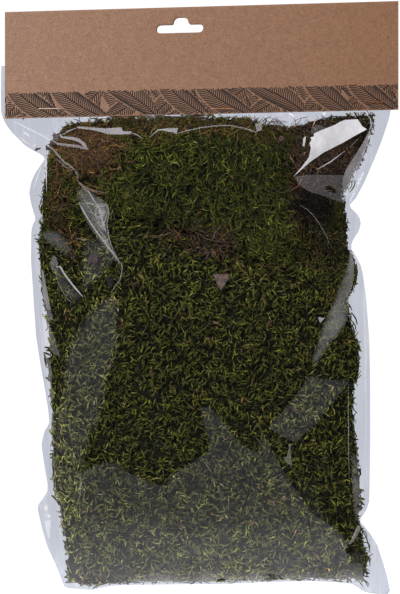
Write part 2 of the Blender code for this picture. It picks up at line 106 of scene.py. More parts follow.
def addMesh(name, points, faces, material, smooth=True):
    # points in millimetres; faces as index lists, or as arrays that each hold faces of one size
    mesh = bpy.data.meshes.new(name)
    points = np.asarray(points, np.float64).reshape(-1, 3)
    groups = [f.reshape(-1, f.shape[-1]) for f in faces] if isinstance(faces[0], np.ndarray) else None
    if groups is None:
        mesh.from_pydata((points * mm).tolist(), [], faces)
    else:
        corners = np.concatenate([g.reshape(-1) for g in groups])
        sizes = np.concatenate([np.full(len(g), g.shape[1]) for g in groups])
        starts = np.concatenate([[0], np.cumsum(sizes)[:-1]])
        mesh.vertices.add(len(points))
        mesh.vertices.foreach_set("co", (points * mm).astype(np.float32).reshape(-1))
        mesh.loops.add(len(corners))
        mesh.loops.foreach_set("vertex_index", corners.astype(np.int32))
        mesh.polygons.add(len(sizes))
        mesh.polygons.foreach_set("loop_start", starts.astype(np.int32))
        mesh.update(calc_edges=True)
        mesh.validate()
    if smooth:
        mesh.shade_smooth()
    return addPiece(name, mesh, material)


def colourPoints(item, colours):
    layer = item.data.color_attributes.new("tone", "FLOAT_COLOR", "POINT")
    rgba = np.ones((len(item.data.vertices), 4), np.float32)
    rgba[:, :3] = colours
    layer.data.foreach_set("color", rgba.reshape(-1))


def treeOf(item):
    places = [v.co / mm for v in item.data.vertices]
    return BVHTree.FromPolygons(places, [list(p.vertices) for p in item.data.polygons])


def sidesOf(outline):
    return zip(outline, outline[1:] + outline[:1])


def insideOutline(xs, zs, outline):
    inside = np.zeros(np.shape(xs), bool)
    for (ax, az), (bx, bz) in sidesOf(outline):
        if az == bz:
            continue
        crosses = (az > zs) != (bz > zs)
        inside ^= crosses & (xs < ax + (zs - az) * (bx - ax) / (bz - az))
    return inside


def insideDepth(xs, zs, outline):
    # How far places lie from an outline's edge.
    least = np.full(np.shape(xs), 1e9)
    for (ax, az), (bx, bz) in sidesOf(outline):
        size = (bx - ax) ** 2 + (bz - az) ** 2
        share = np.clip(((xs - ax) * (bx - ax) + (zs - az) * (bz - az)) / size, 0, 1)
        least = np.minimum(least, np.hypot(xs - ax - share * (bx - ax), zs - az - share * (bz - az)))
    return least


def resamplePath(path, rings):
    path = np.array(path, float)
    travelled = np.concatenate([[0], np.cumsum(np.linalg.norm(np.diff(path, axis=0), axis=1))])
    wanted = np.linspace(0, travelled[-1], rings)
    return np.column_stack([np.interp(wanted, travelled, path[:, i]) for i in range(2)])


def bothSides(path, halves):
    # The two lines that run beside a path, at half its width there.
    lines = ([], [])
    last = len(path) - 1
    for index, (x, z) in enumerate(path):
        ahead, behind = path[min(index + 1, last)], path[max(index - 1, 0)]
        dx, dz = ahead[0] - behind[0], ahead[1] - behind[1]
        size = math.hypot(dx, dz) or 1.0
        lines[0].append((x - dz / size * halves[index], z + dx / size * halves[index]))
        lines[1].append((x + dz / size * halves[index], z - dx / size * halves[index]))
    return lines


def loopEdges(first, count):
    return [(first + i, first + (i + 1) % count) for i in range(count)]


def triangulate(spots, edges):
    made = delaunay_2d_cdt([Vector(p) for p in spots], edges, [], 1, 1e-4)
    return np.array([v[:] for v in made[0]]), np.array([f for f in made[2] if len(f) == 3])


def rearTwins(inner, count):
    # The number of each point's twin on the back of a sheet. The points on its rim are their own.
    twins = np.arange(count)
    twins[inner] = count + np.arange(len(inner))
    return twins


def unevenness(xs, zs, width, height, seed):
    # Smooth noise from about -1 to 1, with lumps of this width and height.
    return np.array([noise.noise(Vector((x / width, z / height, seed))) for x, z in zip(xs, zs)])


# ---- materials

def startMaterial(name):
    material = bpy.data.materials.new(name)
    material.use_nodes = True
    tree = material.node_tree
    return material, tree.nodes, tree.links, tree.nodes["Principled BSDF"]


def addNoise(made, links, scale, detail, stretch=(1, 1, 1), rough=0.55):
    place = made.new("ShaderNodeTexCoord")
    mapping = made.new("ShaderNodeMapping")
    mapping.inputs["Scale"].default_value = stretch
    texture = made.new("ShaderNodeTexNoise")
    texture.inputs["Scale"].default_value = scale
    texture.inputs["Detail"].default_value = detail
    texture.inputs["Roughness"].default_value = rough
    links.new(place.outputs["Object"], mapping.inputs["Vector"])
    links.new(mapping.outputs["Vector"], texture.inputs["Vector"])
    return texture.outputs["Fac"]


def addRamp(made, links, source, stops):
    ramp = made.new("ShaderNodeValToRGB")
    marks = ramp.color_ramp.elements
    while len(marks) < len(stops):
        marks.new(0.5)
    for mark, (place, colour) in zip(marks, stops):
        mark.position = place
        mark.color = (*colour, 1.0) if len(colour) == 3 else colour
    links.new(source, ramp.inputs["Fac"])
    return ramp.outputs["Color"]


def greys(stops):
    return [(place, (value,) * 3) for place, value in stops]


def addMix(made, links, a, b, share, kind="MIX"):
    mix = made.new("ShaderNodeMix")
    mix.data_type = "RGBA"
    mix.blend_type = kind
    for socket, value in ((mix.inputs[0], share), (mix.inputs[6], a), (mix.inputs[7], b)):
        if isinstance(value, (int, float)):
            socket.default_value = value
        elif isinstance(value, tuple):
            socket.default_value = (*value, 1.0)
        else:
            links.new(value, socket)
    return mix.outputs[2]


def addBump(made, links, height, strength, distance):
    bump = made.new("ShaderNodeBump")
    bump.inputs["Strength"].default_value = strength
    bump.inputs["Distance"].default_value = distance
    links.new(height, bump.inputs["Height"])
    return bump.outputs["Normal"]


def addAttribute(made, name):
    # The mesh's own colours, by the name of their layer.
    attribute = made.new("ShaderNodeAttribute")
    attribute.attribute_name = name
    return attribute.outputs["Color"]


def alongAxis(made, links, axis, start, end):
    # 0 to 1 from one place on an axis to another, in metres.
    place = made.new("ShaderNodeTexCoord")
    split = made.new("ShaderNodeSeparateXYZ")
    share = made.new("ShaderNodeMapRange")
    share.inputs["From Min"].default_value = start
    share.inputs["From Max"].default_value = end
    links.new(place.outputs["Object"], split.inputs[0])
    links.new(split.outputs[axis], share.inputs["Value"])
    return share.outputs[0]


# Painted light: the card runs from its pale side at the left, where the key lamp and a sheen fall, to darker and
# warmer at the right, as painted shade.
kraft = {
    "paintedLitSide": (0.338, 0.197, 0.133),
    "paintedShadedSide": (0.275, 0.139, 0.078),
    # Mottling, the last one felt too: noise scale, detail, stretch and roughness, and darkest and lightest.
    "grains": (((380, 4, (0.9, 1, 1), 0.6), (0.93, 1.07)),
               ((1150, 3, (0.9, 1, 1), 0.6), (0.84, 1.16))),
    # Fibres and flecks: noise as above, where in it they start and are whole, their strength and their tint.
    "specks": (((900, 3, (0.5, 1, 1.2), 0.5), (0.58, 0.72), 0.8, (0.82, 0.75, 0.70)),
               ((430, 1, (0.7, 1, 1), 0.4), (0.79, 0.81), 0.9, (0.50, 0.38, 0.30))),
    "roughness": 0.82,
    "specular": 0.3,
    "bump": (0.35, 0.0002),
}


def kraftMaterial():
    material, made, links, shader = startMaterial("kraftCard")
    across = alongAxis(made, links, "X", cadBox[0].x, cadBox[1].x)
    # Painted light: paler at the left, darker at the right, as if the key lamp falls from the left.
    colour = addRamp(made, links, across, [(0.0, kraft["paintedLitSide"]), (1.0, kraft["paintedShadedSide"])])
    for texture, (low, high) in kraft["grains"]:
        grain = addNoise(made, links, *texture)
        shade = addRamp(made, links, grain, greys(((0.36, low), (0.64, high))))
        colour = addMix(made, links, colour, shade, 1.0, "MULTIPLY")
    for texture, (start, end), most, tint in kraft["specks"]:
        share = addRamp(made, links, addNoise(made, links, *texture), greys(((start, 0.0), (end, most))))
        colour = addMix(made, links, colour, addMix(made, links, colour, tint, 1.0, "MULTIPLY"), share)
    links.new(colour, shader.inputs["Base Color"])
    shader.inputs["Roughness"].default_value = kraft["roughness"]
    shader.inputs["Specular IOR Level"].default_value = kraft["specular"]
    links.new(addBump(made, links, grain, *kraft["bump"]), shader.inputs["Normal"])
    return material


# Painted light: the copper is painted bright at the left staple as a glint, and darker towards the right one as
# shade.
wire = {        # bright at the left staple, and browner towards the right one
    "paintedGlintToShade": ((0.12, (1.0, 0.72, 0.58)), (0.5, (0.80, 0.42, 0.19)), (0.93, (0.50, 0.20, 0.075))),
    "roughness": 0.5,
}


def copperMaterial():
    material, made, links, shader = startMaterial("copperWire")
    across = alongAxis(made, links, "X", cadBox[0].x, cadBox[1].x)
    # Painted light: bright as a glint at the left, darker as shade at the right.
    links.new(addRamp(made, links, across, wire["paintedGlintToShade"]), shader.inputs["Base Color"])
    shader.inputs["Metallic"].default_value = 1.0
    shader.inputs["Roughness"].default_value = wire["roughness"]
    return material


film = {
    "tint": (0.765, 0.782, 0.832),
    "streakTint": (0.85, 0.86, 0.90),
    "shineTint": (0.80, 0.78, 0.815),
    "headOnShine": (0.068, 0.090),
    "edgePower": 5.0,
    "roughness": 0.06,
    # Noise scale, detail, stretch and roughness of the cloudy shine, the paler streaks and the ripples.
    "cloudy": (95, 3, (1, 1, 0.6), 0.6),
    "streaks": (60, 4, (3.2, 3.2, 0.35), 0.6),
    "ripples": (45, 2, (1.6, 1.6, 0.5), 0.5),
    "bump": (0.10, 0.0015),
}


def filmMaterial():
    material, made, links, shader = startMaterial("clearFilm")
    made.remove(shader)
    through = made.new("ShaderNodeBsdfTransparent")
    shine = made.new("ShaderNodeBsdfGlossy")
    shine.inputs["Roughness"].default_value = film["roughness"]
    shine.inputs["Color"].default_value = (*film["shineTint"], 1.0)
    # The same share of light is thrown back from both sides: the least of it head on, all of it edge on.
    slant = made.new("ShaderNodeLayerWeight")
    slant.inputs["Blend"].default_value = 0.5
    steep = made.new("ShaderNodeMath")
    steep.operation = "POWER"
    steep.inputs[1].default_value = film["edgePower"]
    edge = made.new("ShaderNodeMapRange")
    cloudy = addNoise(made, links, *film["cloudy"])
    headOn = addRamp(made, links, cloudy, greys(zip((0.36, 0.64), film["headOnShine"])))
    headOn = addMix(made, links, headOn, addAttribute(made, "shine"), 1.0, "MULTIPLY")
    links.new(headOn, edge.inputs["To Min"])
    links.new(slant.outputs["Facing"], steep.inputs[0])
    links.new(steep.outputs[0], edge.inputs["Value"])
    streaks = addNoise(made, links, *film["streaks"])
    tint = addRamp(made, links, streaks, [(0.52, film["tint"]), (0.72, film["streakTint"])])
    links.new(tint, through.inputs["Color"])
    ripples = addNoise(made, links, *film["ripples"])
    links.new(addBump(made, links, ripples, *film["bump"]), shine.inputs["Normal"])
    mix = made.new("ShaderNodeMixShader")
    links.new(edge.outputs[0], mix.inputs[0])
    links.new(through.outputs[0], mix.inputs[1])
    links.new(shine.outputs[0], mix.inputs[2])
    links.new(mix.outputs[0], made["Material Output"].inputs["Surface"])
    return material


# Mottled finishes: scale and detail of the mottling, its two shades, and how matt and how rough it is.
# A toned one multiplies the mesh's own colours by its shades.
finishes = {
    "bandInk": {"noise": (1500, 2), "roughness": 0.7,
                "shades": ((0.35, (0.008, 0.007, 0.007)), (0.80, (0.026, 0.020, 0.018)))},
    "mossBed": {"noise": (700, 5), "roughness": 0.95,
                "shades": ((0.36, (0.010, 0.009, 0.004)), (0.64, (0.044, 0.040, 0.014)))},
    "mossShoots": {"toned": True, "noise": (1500, 2), "roughness": 0.62, "specular": 0.35,
                   "bump": (0.5, 0.0003), "shades": ((0.33, (0.48, 0.48, 0.48)), (0.67, (1.42, 1.42, 1.30)))},
    "dryLeaf": {"toned": True, "noise": (420, 5), "roughness": 0.75, "bump": (0.5, 0.0004),
                "shades": ((0.32, (0.60, 0.60, 0.60)), (0.68, (1.35, 1.35, 1.35)))},
}


def mottledMaterial(name):
    finish = finishes[name]
    material, made, links, shader = startMaterial(name)
    mottling = addNoise(made, links, *finish["noise"])
    colour = addRamp(made, links, mottling, finish["shades"])
    if "toned" in finish:
        colour = addMix(made, links, addAttribute(made, "tone"), colour, 1.0, "MULTIPLY")
    links.new(colour, shader.inputs["Base Color"])
    shader.inputs["Roughness"].default_value = finish["roughness"]
    shader.inputs["Specular IOR Level"].default_value = finish.get("specular", 0.5)
    if "bump" in finish:
        links.new(addBump(made, links, mottling, *finish["bump"]), shader.inputs["Normal"])
    return material


# ---- header card

band = {
    "height": 16.3,        # of the printed band along the card's lower edge
    # Fronds, the nearest first: first foot, step, lean in degrees, hung from above, length and half width.
    "layers": (
        (5.0, 31.0, 147.0, False, 42.0, 9.4),
        (30.0, 31.0, 214.0, True, 34.0, 7.4),
        (2.0, 15.5, 128.0, False, 34.0, 9.0),
        (7.0, 10.3, 100.0, False, 30.0, 8.0),
    ),
    "ribSteps": 24,
    "ribBow": 26.0,        # in degrees, as the barbs' lean and curl
    "barbStep": 1.55,
    "barbParts": 9,
    "barbLean": 60.0,
    "barbCurl": 36.0,
    "lineWidth": 0.70,
    "gap": 1.5,            # of plain paper round each frond
    "footStray": 1.6,
    "leanStray": 5.0,
    "beyond": 2.0,         # how far outside the band the fronds' feet are
    "sideMargin": 0.3,
    "footMargin": 0.25,
    "overPaper": 0.04,
}


def cardLine(lower):
    # The height of the card's lower or upper edge at any X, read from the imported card.
    places = np.array([v.co[:] for v in nodes["header_card"].data.vertices]) / mm
    ends = []
    for side in (places[:, 0].min(), places[:, 0].max()):
        heights = places[np.abs(places[:, 0] - side) < 0.5][:, 2]
        ends.append((side, heights.min() if lower else heights.max()))
    (x0, z0), (x1, z1) = ends
    return lambda x: z0 + (z1 - z0) * (x - x0) / (x1 - x0)


def walk(start, headings, stride):
    # The path from a start that takes one stride on each heading.
    path = [start]
    for heading in headings:
        x, z = path[-1]
        path.append((x + stride * math.cos(heading), z + stride * math.sin(heading)))
    return path


def frondStrokes(foot, lean, flip, length, halfWidth):
    # One frond: a bowed midrib and barbs on both sides of it, as lists of points, and the frond's rim.
    steps, parts = band["ribSteps"], band["barbParts"]
    bow = math.radians(band["ribBow"]) * flip
    headings = [math.radians(lean) + bow * (step / steps - 0.4) for step in range(steps)]
    rib = walk(foot, headings, length / steps)
    strokes = [rib]
    ends = {-1: [], 1: []}
    barbs = int(length / band["barbStep"])
    for barb in range(1, barbs):
        share = barb / barbs
        place = share * steps
        index = min(int(place), steps - 1)
        (x0, z0), (x1, z1) = rib[index], rib[index + 1]
        root = x0 + (x1 - x0) * (place - index), z0 + (z1 - z0) * (place - index)
        reach = halfWidth * math.sin(math.pi * share ** 0.8) ** 0.6
        for side in (-1, 1):
            start = headings[index] + side * math.radians(band["barbLean"])
            curl = -side * math.radians(band["barbCurl"])
            turns = [start + curl * part / parts for part in range(parts)]
            stroke = walk(root, turns, (reach + band["gap"]) / parts)
            ends[side].append(stroke.pop())
            strokes.append(stroke)
    return strokes, [rib[0]] + ends[-1] + [rib[-1]] + ends[1][::-1]


def buildBand():
    low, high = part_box("header_card")
    face = low.y / mm - band["overPaper"]
    lowerEdge = cardLine(True)
    points, faces, outlines = [], [], []
    left, right = low.x / mm + band["sideMargin"], high.x / mm - band["sideMargin"]
    for first, step, lean, down, length, halfWidth in band["layers"]:
        for index in range(int((right - left) / step) + 3):
            footX = left + first + index * step + band["footStray"] * math.sin(index * 2.4 + first)
            footZ = lowerEdge(footX) + (band["height"] + band["beyond"] if down else -band["beyond"])
            turned = lean + band["leanStray"] * math.sin(index * 1.7 + first)
            strokes, rim = frondStrokes((footX, footZ), turned, -1 if index % 3 else 1, length, halfWidth)
            x, z = np.array([spot for stroke in strokes for spot in stroke]).T
            aboveEdge = z - lowerEdge(x)
            shown = (x > left) & (x < right) & (aboveEdge > band["footMargin"]) & (aboveEdge < band["height"])
            for old in outlines:
                shown &= ~insideOutline(x, z, old)
            outlines.append(rim)
            shown = list(shown)
            for stroke in strokes:
                kept = []
                for spot, seen in zip(stroke + [None], shown[:len(stroke)] + [False]):
                    if seen:
                        kept.append(spot)
                        continue
                    if len(kept) > 1:
                        addStroke(points, faces, kept, face)
                    kept = []
                del shown[:len(stroke)]
    return addMesh("headerPrint", points, faces, mottledMaterial("bandInk"), smooth=False)


def addStroke(points, faces, path, face):
    base = len(points)
    for pair in zip(*bothSides(path, [band["lineWidth"] / 2] * len(path))):
        points += [(x, face, z) for x, z in pair]
    faces += [(a, a + 2, a + 3, a + 1) for a in range(base, len(points) - 2, 2)]


# ---- bag film

bag = {
    "grid": 3.3,
    "edgeStep": 3.0,
    "underFilm": 0.45,     # the least room between a shoot and the film
    "standOff": 16.0,      # of the film's front from the card's plane, where its creases are placed
    "clearOfShapes": 1.6,
    "bitsRise": 1.5,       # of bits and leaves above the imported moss
    "ripples": ((1.0, (16.0, 42.0, 3.0)), (0.5, (7.0, 24.0, 8.0))),      # height, and width, length and seed
    "least": 0.3,          # that the filled part stands out
}

# The film's edge in photo pixels: down its left side, along its foot and up its right side.
filmEdge = [
    (1.4, 66), (0.9, 93), (1.0, 106), (1.4, 113), (3.2, 119), (7, 126), (12.4, 133), (19, 139.4), (24.4, 145),
    (33, 150.4), (40.4, 154), (45.6, 158), (39.4, 167), (34.6, 174), (31, 183), (29.2, 193), (31, 203),
    (34, 214), (36, 219), (33, 224), (31.3, 231), (31, 260), (33.5, 298), (35.9, 335), (40.7, 366),
    (45.4, 392), (48.4, 411), (49.4, 424), (44.4, 431), (41.4, 445), (44.4, 466), (47.6, 484), (47.4, 491),
    (43.4, 498), (39.2, 503), (37.2, 508), (41.4, 526), (47, 546), (55.8, 565), (60, 576), (65, 588),
    (91.8, 590.3), (104.3, 587.2), (124.8, 585.1), (220, 584.3), (247.4, 583.2), (289, 581.7), (315, 581.4),
    (338.6, 582.5), (352, 584), (366, 592.7), (391.3, 595.8), (389.6, 588), (387.6, 577), (383.4, 563),
    (377.4, 545), (370.9, 534.5), (364.6, 526.6), (359.2, 520.6), (362.2, 516.4), (366.9, 509.3),
    (369.3, 501.5), (370.3, 440), (370.1, 379), (369.3, 339), (366, 297), (363, 275), (361, 266), (356, 256),
    (350.4, 247.5), (353, 240), (359, 231), (361, 222), (359, 216), (354, 211), (348.6, 206), (356, 198),
    (364, 183), (374, 160), (382, 140), (388.6, 120), (390.8, 111), (391.2, 59.5),
]

# Flat facets that catch the pale card in front: outline in photo pixels, tilt down at its top and bottom in
# degrees, and how far its shine fades in from its edges in pixels.
sheenPixels = {
    "bottom": ([(48, 455), (80, 473), (92, 466), (110, 462), (118, 463), (126, 472), (140, 477), (150, 484),
                (165, 486), (171, 475), (193, 462), (208, 452), (210, 443), (204, 425), (202, 412), (203, 407),
                (211, 407), (217, 416), (223, 422), (238, 441), (247, 448.5), (259, 452), (260.6, 437),
                (266, 439), (279.5, 464), (295, 490), (313, 514), (332, 527), (347, 543), (352, 572),
                (352, 586), (66, 592), (54, 558), (48, 510)], 4.5, 9.0, 0),
    "leftStrip": ([(89, 310), (110, 294), (119, 298), (119, 340), (113, 365), (108, 380), (104, 400),
                   (100, 421), (90, 440), (80, 473), (48, 455), (48, 420), (58, 405), (61, 385), (63, 365),
                   (68, 345), (78, 328)], 3.9, 5.0, 6),
    "rightPatch": ([(309, 376), (330, 380), (350, 382), (332, 403), (313, 426), (294.7, 442), (285, 438),
                    (268, 427), (283, 411), (298.5, 392)], 3.9, 4.4, 0),
    "leftPatch": ([(84, 238), (110, 240), (117, 256), (112, 265), (98, 280), (82, 293), (82, 262)],
                  4.8, 4.8, 3),
}

# Facets that catch the pale lamp, or the dim one below a certain brightness: outline in photo pixels,
# brightness, and how far that fades in from its edges. A fade below zero is the power of a fade upwards.
facetPixels = {
    "large": ([(293, 177), (301, 168), (309, 157), (311, 148), (309.6, 143), (311.6, 140), (310.6, 137),
               (314, 136.4), (314, 133.4), (320, 130.5), (335, 124.5), (341, 121), (346, 119.3), (358, 118.6),
               (360.5, 122), (363, 126), (367.5, 128.7), (356, 135), (344, 142), (324, 152.3), (310, 162)],
              0.76, 0),
    "glareCorner": ([(311.6, 127), (316, 124.5), (323, 125), (325, 128.4), (319, 130.6), (314, 133), (311, 134)],
                    0.07, 0),
    "glint": ([(302.5, 146), (303.5, 138), (306, 136), (305.5, 141), (304.5, 146.5)], 0.60, 0),
    "fold": ([(77, 125.8), (90, 126.8), (105, 128), (121, 127), (123, 131), (131, 131), (131, 133.8),
              (120, 134.3), (108, 133.8), (104, 132.8), (95, 130.2), (84, 128.6), (77, 127.6)], 0.38, 0),
    "foldKnee": ([(158, 129), (168, 128), (178, 127.6), (176.5, 134), (172, 131.6), (168, 131.6), (164, 130.4)],
                 0.34, 0),
    "hookUpper": ([(59, 133.5), (63, 136), (72, 136.3), (79, 138.3), (85, 143), (88.5, 149.8), (84, 147),
                   (80, 142.6), (74, 140.2), (67, 138.6), (60, 137.2)], 0.34, 0),
    "hookLower": ([(51, 139.3), (57, 142.3), (66, 143.5), (77, 144.6), (86, 147.6), (88, 150.2), (80, 148),
                   (70, 146.3), (57, 144.6)], 0.28, 0),
    "notch": ([(255, 124), (262, 122), (262, 130), (257, 131.5)], 0.22, 0),
    "edgeOne": ([(20.5, 116.8), (24, 116.8), (22.5, 119.6)], 0.9, 0),
    "edgeTwo": ([(82, 115.5), (85.5, 115.5), (84.5, 118.3)], 0.9, 0),
    "edgeThree": ([(96, 115), (108.5, 114.6), (106, 117.2), (99, 117.6)], 0.9, 0),
    "edgeFour": ([(288, 112.6), (292, 112.4), (296, 117.6)], 0.9, 0),
    "edgeFive": ([(322, 111.6), (327, 111.6), (325, 115.3)], 0.9, 0),
    "lowBlob": ([(43, 507), (46.5, 506), (47, 511), (44, 512)], 0.8, 0),
    "lowGlint": ([(46, 514.5), (50.5, 516), (48, 520)], 0.8, 0),
    "lowTriangle": ([(44, 522.5), (50, 521), (49, 539.5), (47, 538)], 0.6, 0),
    "rightStrip": ([(350.5, 249), (355, 264), (354, 279), (348, 296), (349.6, 308), (347.7, 322), (339, 335),
                    (331, 344), (321, 358), (313, 373), (311.7, 358), (315.5, 348), (321, 329), (329, 312),
                    (336, 296), (338, 289), (344, 275), (349, 259)], 0.125, 2.5),
    "smallWedge": ([(288.4, 443), (290.4, 444), (290.6, 454), (291.8, 467.5), (288, 463), (283.6, 459),
                    (287, 456), (288.6, 450)], 0.11, 0),
    "smallTriangle": ([(318, 317), (325, 318), (320, 323)], 0.30, 0),
    "leftTriangle": ([(38, 235), (44, 230), (60, 231), (67, 240), (77, 256), (70, 258), (60, 252), (50, 245)],
                     0.075, 2),
    "leftSliver": ([(51, 255), (56, 261), (63, 272), (72, 286), (82, 296), (72, 303), (60, 290), (52, 270)],
                   0.05, 2),
    "sliverHead": ([(50, 262), (53.4, 254.4), (56, 258), (58, 264), (54.4, 267), (52.4, 272), (50.6, 267)],
                   0.12, 0),
    "spearHead": ([(76, 186), (83, 187), (90, 192), (99, 196), (107, 203), (109, 212), (107, 224), (109, 238),
                   (113, 250), (120, 262), (121.5, 270), (113, 259), (104, 248), (97, 238), (88, 225),
                   (81, 211), (77, 198)], 0.10, 1.5),
    "spearBody": ([(93, 205), (100, 204), (107, 203), (109, 207), (109, 215), (106, 224), (107, 234),
                   (101, 231), (97, 224), (93, 214)], 0.31, 2.5),
    "spearCore": ([(98, 207), (106, 205), (107.4, 212), (104, 221), (99, 221), (96, 213)], 0.42, 2.5),
    "spearTail": ([(103, 232), (108, 238), (112, 249), (119, 261), (116, 259), (109, 249), (103, 240)],
                  0.17, 0.8),
    "haze": ([(294, 177), (310, 174.5), (345, 175), (341, 184), (347, 192), (347, 200), (344, 202), (338, 201),
              (325, 196.2), (312, 192.4), (302, 187)], 0.062, 0),
    "hazeHole": ([(325, 186.4), (328, 185.4), (332, 186.6), (336, 189.6), (337, 191.8), (335, 193), (331, 192),
                  (327, 190)], 0.0, 0),
    "rightFlap": ([(370.5, 129), (363, 143), (354, 157), (346, 170), (342, 183), (344.5, 192), (347, 197),
                   (351, 185), (355, 174), (361, 162), (367, 148), (371.5, 134)], 0.21, 0),
    "footFlap": ([(349, 545), (357, 532), (359, 526), (361.5, 528), (358, 536), (352, 545)], 0.17, 0),
    "eye": ([(346.4, 549), (348, 547), (351, 546.4), (354, 548), (355, 551), (353.4, 554), (350.4, 555),
             (347.4, 554), (346, 551.6)], 0.0, 0),
    "leftWedge": ([(41.2, 268), (43, 272), (45.4, 284), (47.8, 297), (50.4, 310), (46.4, 309), (43.4, 300),
                   (41.8, 288)], 0.30, 0),
    "leftFoldUpper": ([(42, 304), (46, 309), (50, 310), (53, 320), (48, 321), (50, 329), (54, 338), (58, 350),
                       (59, 356), (54, 355), (49, 349), (46, 346), (44, 346), (43, 330)], 0.12, 0),
    "leftFoldLower": ([(45, 357), (49, 360), (52, 375), (51, 386), (54, 398), (50, 402), (47.6, 398),
                       (46, 380)], 0.12, 0),
    "rightStripEdge": ([(350.4, 250), (353, 256), (354.6, 264), (354.6, 277), (352, 288), (348, 298),
                        (346, 296), (348, 284), (350, 270), (350, 258)], 0.15, 0),
    "rightFold": ([(351, 450), (356, 455), (359, 470), (362, 490), (362, 505), (360, 517), (358.4, 523),
                   (354, 515), (353, 500), (352, 485), (352, 470)], 0.13, 3),
    "footHaze": ([(126, 583.4), (131, 577), (150, 573), (180, 570), (200, 568), (225, 566), (250, 564),
                  (262, 565), (280, 569), (310, 570), (330, 568), (345, 564), (363, 565), (364, 583),
                  (352, 582.2), (338, 581), (315, 580), (289, 580.3), (247, 581.8), (220, 582.8)], 0.34, -2),
}
dimBelow = 0.1

# Creases that shine as thin lines: points in photo pixels, width in pixels, and brightness.
creasePixels = [
    ([(60.5, 135), (68, 130.5), (77, 127)], 1.2, 0.36),
    ([(130, 131.5), (137, 134.5), (143, 139)], 1.1, 0.36),
    ([(150, 137), (158, 129.5), (164, 129.5), (168, 131), (172, 131)], 1.1, 0.40),
    ([(176, 134), (184, 131), (200, 127.5), (215, 125.5), (230, 125), (245, 128), (256, 132), (260, 129)],
     1.0, 0.26),
    ([(46, 145), (52, 148), (57, 154), (63, 161), (70, 166), (75, 170)], 1.9, 0.24),
    ([(75, 170), (77, 174), (78, 180)], 1.3, 0.24),
    ([(56, 158), (64, 166), (72, 170)], 1.4, 0.17),
    ([(12, 120), (25, 126.6), (40, 134), (52, 141)], 1.0, 0.66),
    ([(22, 131.6), (25.6, 132.8), (29, 136)], 1.7, 0.85),
    ([(17, 135.6), (24, 140.6), (31, 145)], 1.0, 0.80),
    ([(31, 147), (33, 144.6), (36, 143)], 1.0, 0.80),
    ([(45.3, 158), (45.6, 172), (46.2, 191)], 1.0, 0.80),
    ([(32.4, 188), (36, 178), (40, 166)], 1.0, 0.85),
    ([(350, 545), (354.4, 536), (358.6, 526.6)], 1.0, 0.55),
    ([(79, 203), (84, 212), (90, 222), (99, 235), (107, 246), (115, 256), (120, 263)], 1.1, 0.40),
    ([(108, 205), (109, 213), (107, 224), (109, 238), (113, 250), (120, 262)], 0.9, 0.26),
    ([(82, 187), (89, 192), (93, 199), (97, 205), (107, 203)], 1.1, 0.40),
    ([(85, 202), (92, 204), (99, 207), (108, 205)], 1.1, 0.40),
    ([(88, 211), (94, 214), (100, 212), (107, 214)], 0.9, 0.40),
    ([(93, 214), (100, 218), (104, 224), (106, 216)], 1.0, 0.55),
    ([(97, 205), (101, 213), (103, 222), (106, 233)], 1.0, 0.50),
    ([(92, 217), (98, 223), (104, 232)], 0.8, 0.32),
    ([(96, 222), (101, 232), (109, 243)], 0.8, 0.30),
    ([(84, 199), (88, 206), (95, 216), (99, 226)], 0.8, 0.28),
    ([(102, 236), (108, 246), (114, 254), (118, 260)], 0.9, 0.36),
    ([(120, 261), (122, 265), (122, 271), (120, 280), (114, 288), (110, 294)], 0.9, 0.22),
    ([(56, 266.6), (60, 266.6), (65, 275), (71, 283), (77, 290), (83, 297)], 1.7, 0.42),
    ([(56, 267), (54.6, 271), (57, 280), (62, 291), (68, 300), (74, 304)], 0.9, 0.15),
    ([(316, 170), (330, 162), (345, 151)], 1.1, 0.50),
    ([(350, 147), (358, 139)], 1.1, 0.32),
    ([(287, 130), (289, 126), (295, 124)], 1.0, 0.34),
    ([(366, 112), (371, 118), (372, 125), (370, 130)], 1.2, 0.50),
    ([(300, 205), (307, 209), (314, 216), (321, 226), (327, 237), (332, 248)], 0.8, 0.12),
    ([(341, 187), (344, 191), (347, 195)], 0.8, 0.24),
    ([(349, 385), (348.5, 418), (349, 430), (348.7, 448), (349.6, 480)], 0.9, 0.20),
    ([(80, 473), (81, 484), (79.6, 496), (75.5, 511)], 1.2, 0.20),
    ([(36, 300), (42, 350), (47, 400)], 1.0, 0.25),
    ([(364, 270), (366, 340), (367, 420), (365, 500)], 0.9, 0.25),
    ([(52, 440), (56, 500), (64, 580)], 0.9, 0.20),
]


def ribbonOutline(path, width):
    # A crease's outline, which tapers at both ends.
    halves = [width / 2] * len(path)
    halves[0] = halves[-1] = width / 8
    left, right = bothSides(path, halves)
    return left + right[::-1]


def splitSides(outline):
    # The outline with points added along its long sides, so that it follows the film's curve.
    made = []
    for (ax, az), (bx, bz) in sidesOf(outline):
        parts = math.ceil(math.hypot(bx - ax, bz - az) / bag["grid"])
        made += [(ax + (bx - ax) * part / parts, az + (bz - az) * part / parts) for part in range(parts)]
    return made


def filmOutline():
    edge = np.array([fromPhoto(p) for p in filmEdge + filmEdge[:1]])
    length = np.linalg.norm(np.diff(edge, axis=0), axis=1).sum()
    return [tuple(p) for p in resamplePath(edge, int(length / bag["edgeStep"]))[:-1]]


def onFilm(pixels):
    return [fromPhoto(p, bag["standOff"]) for p in pixels]


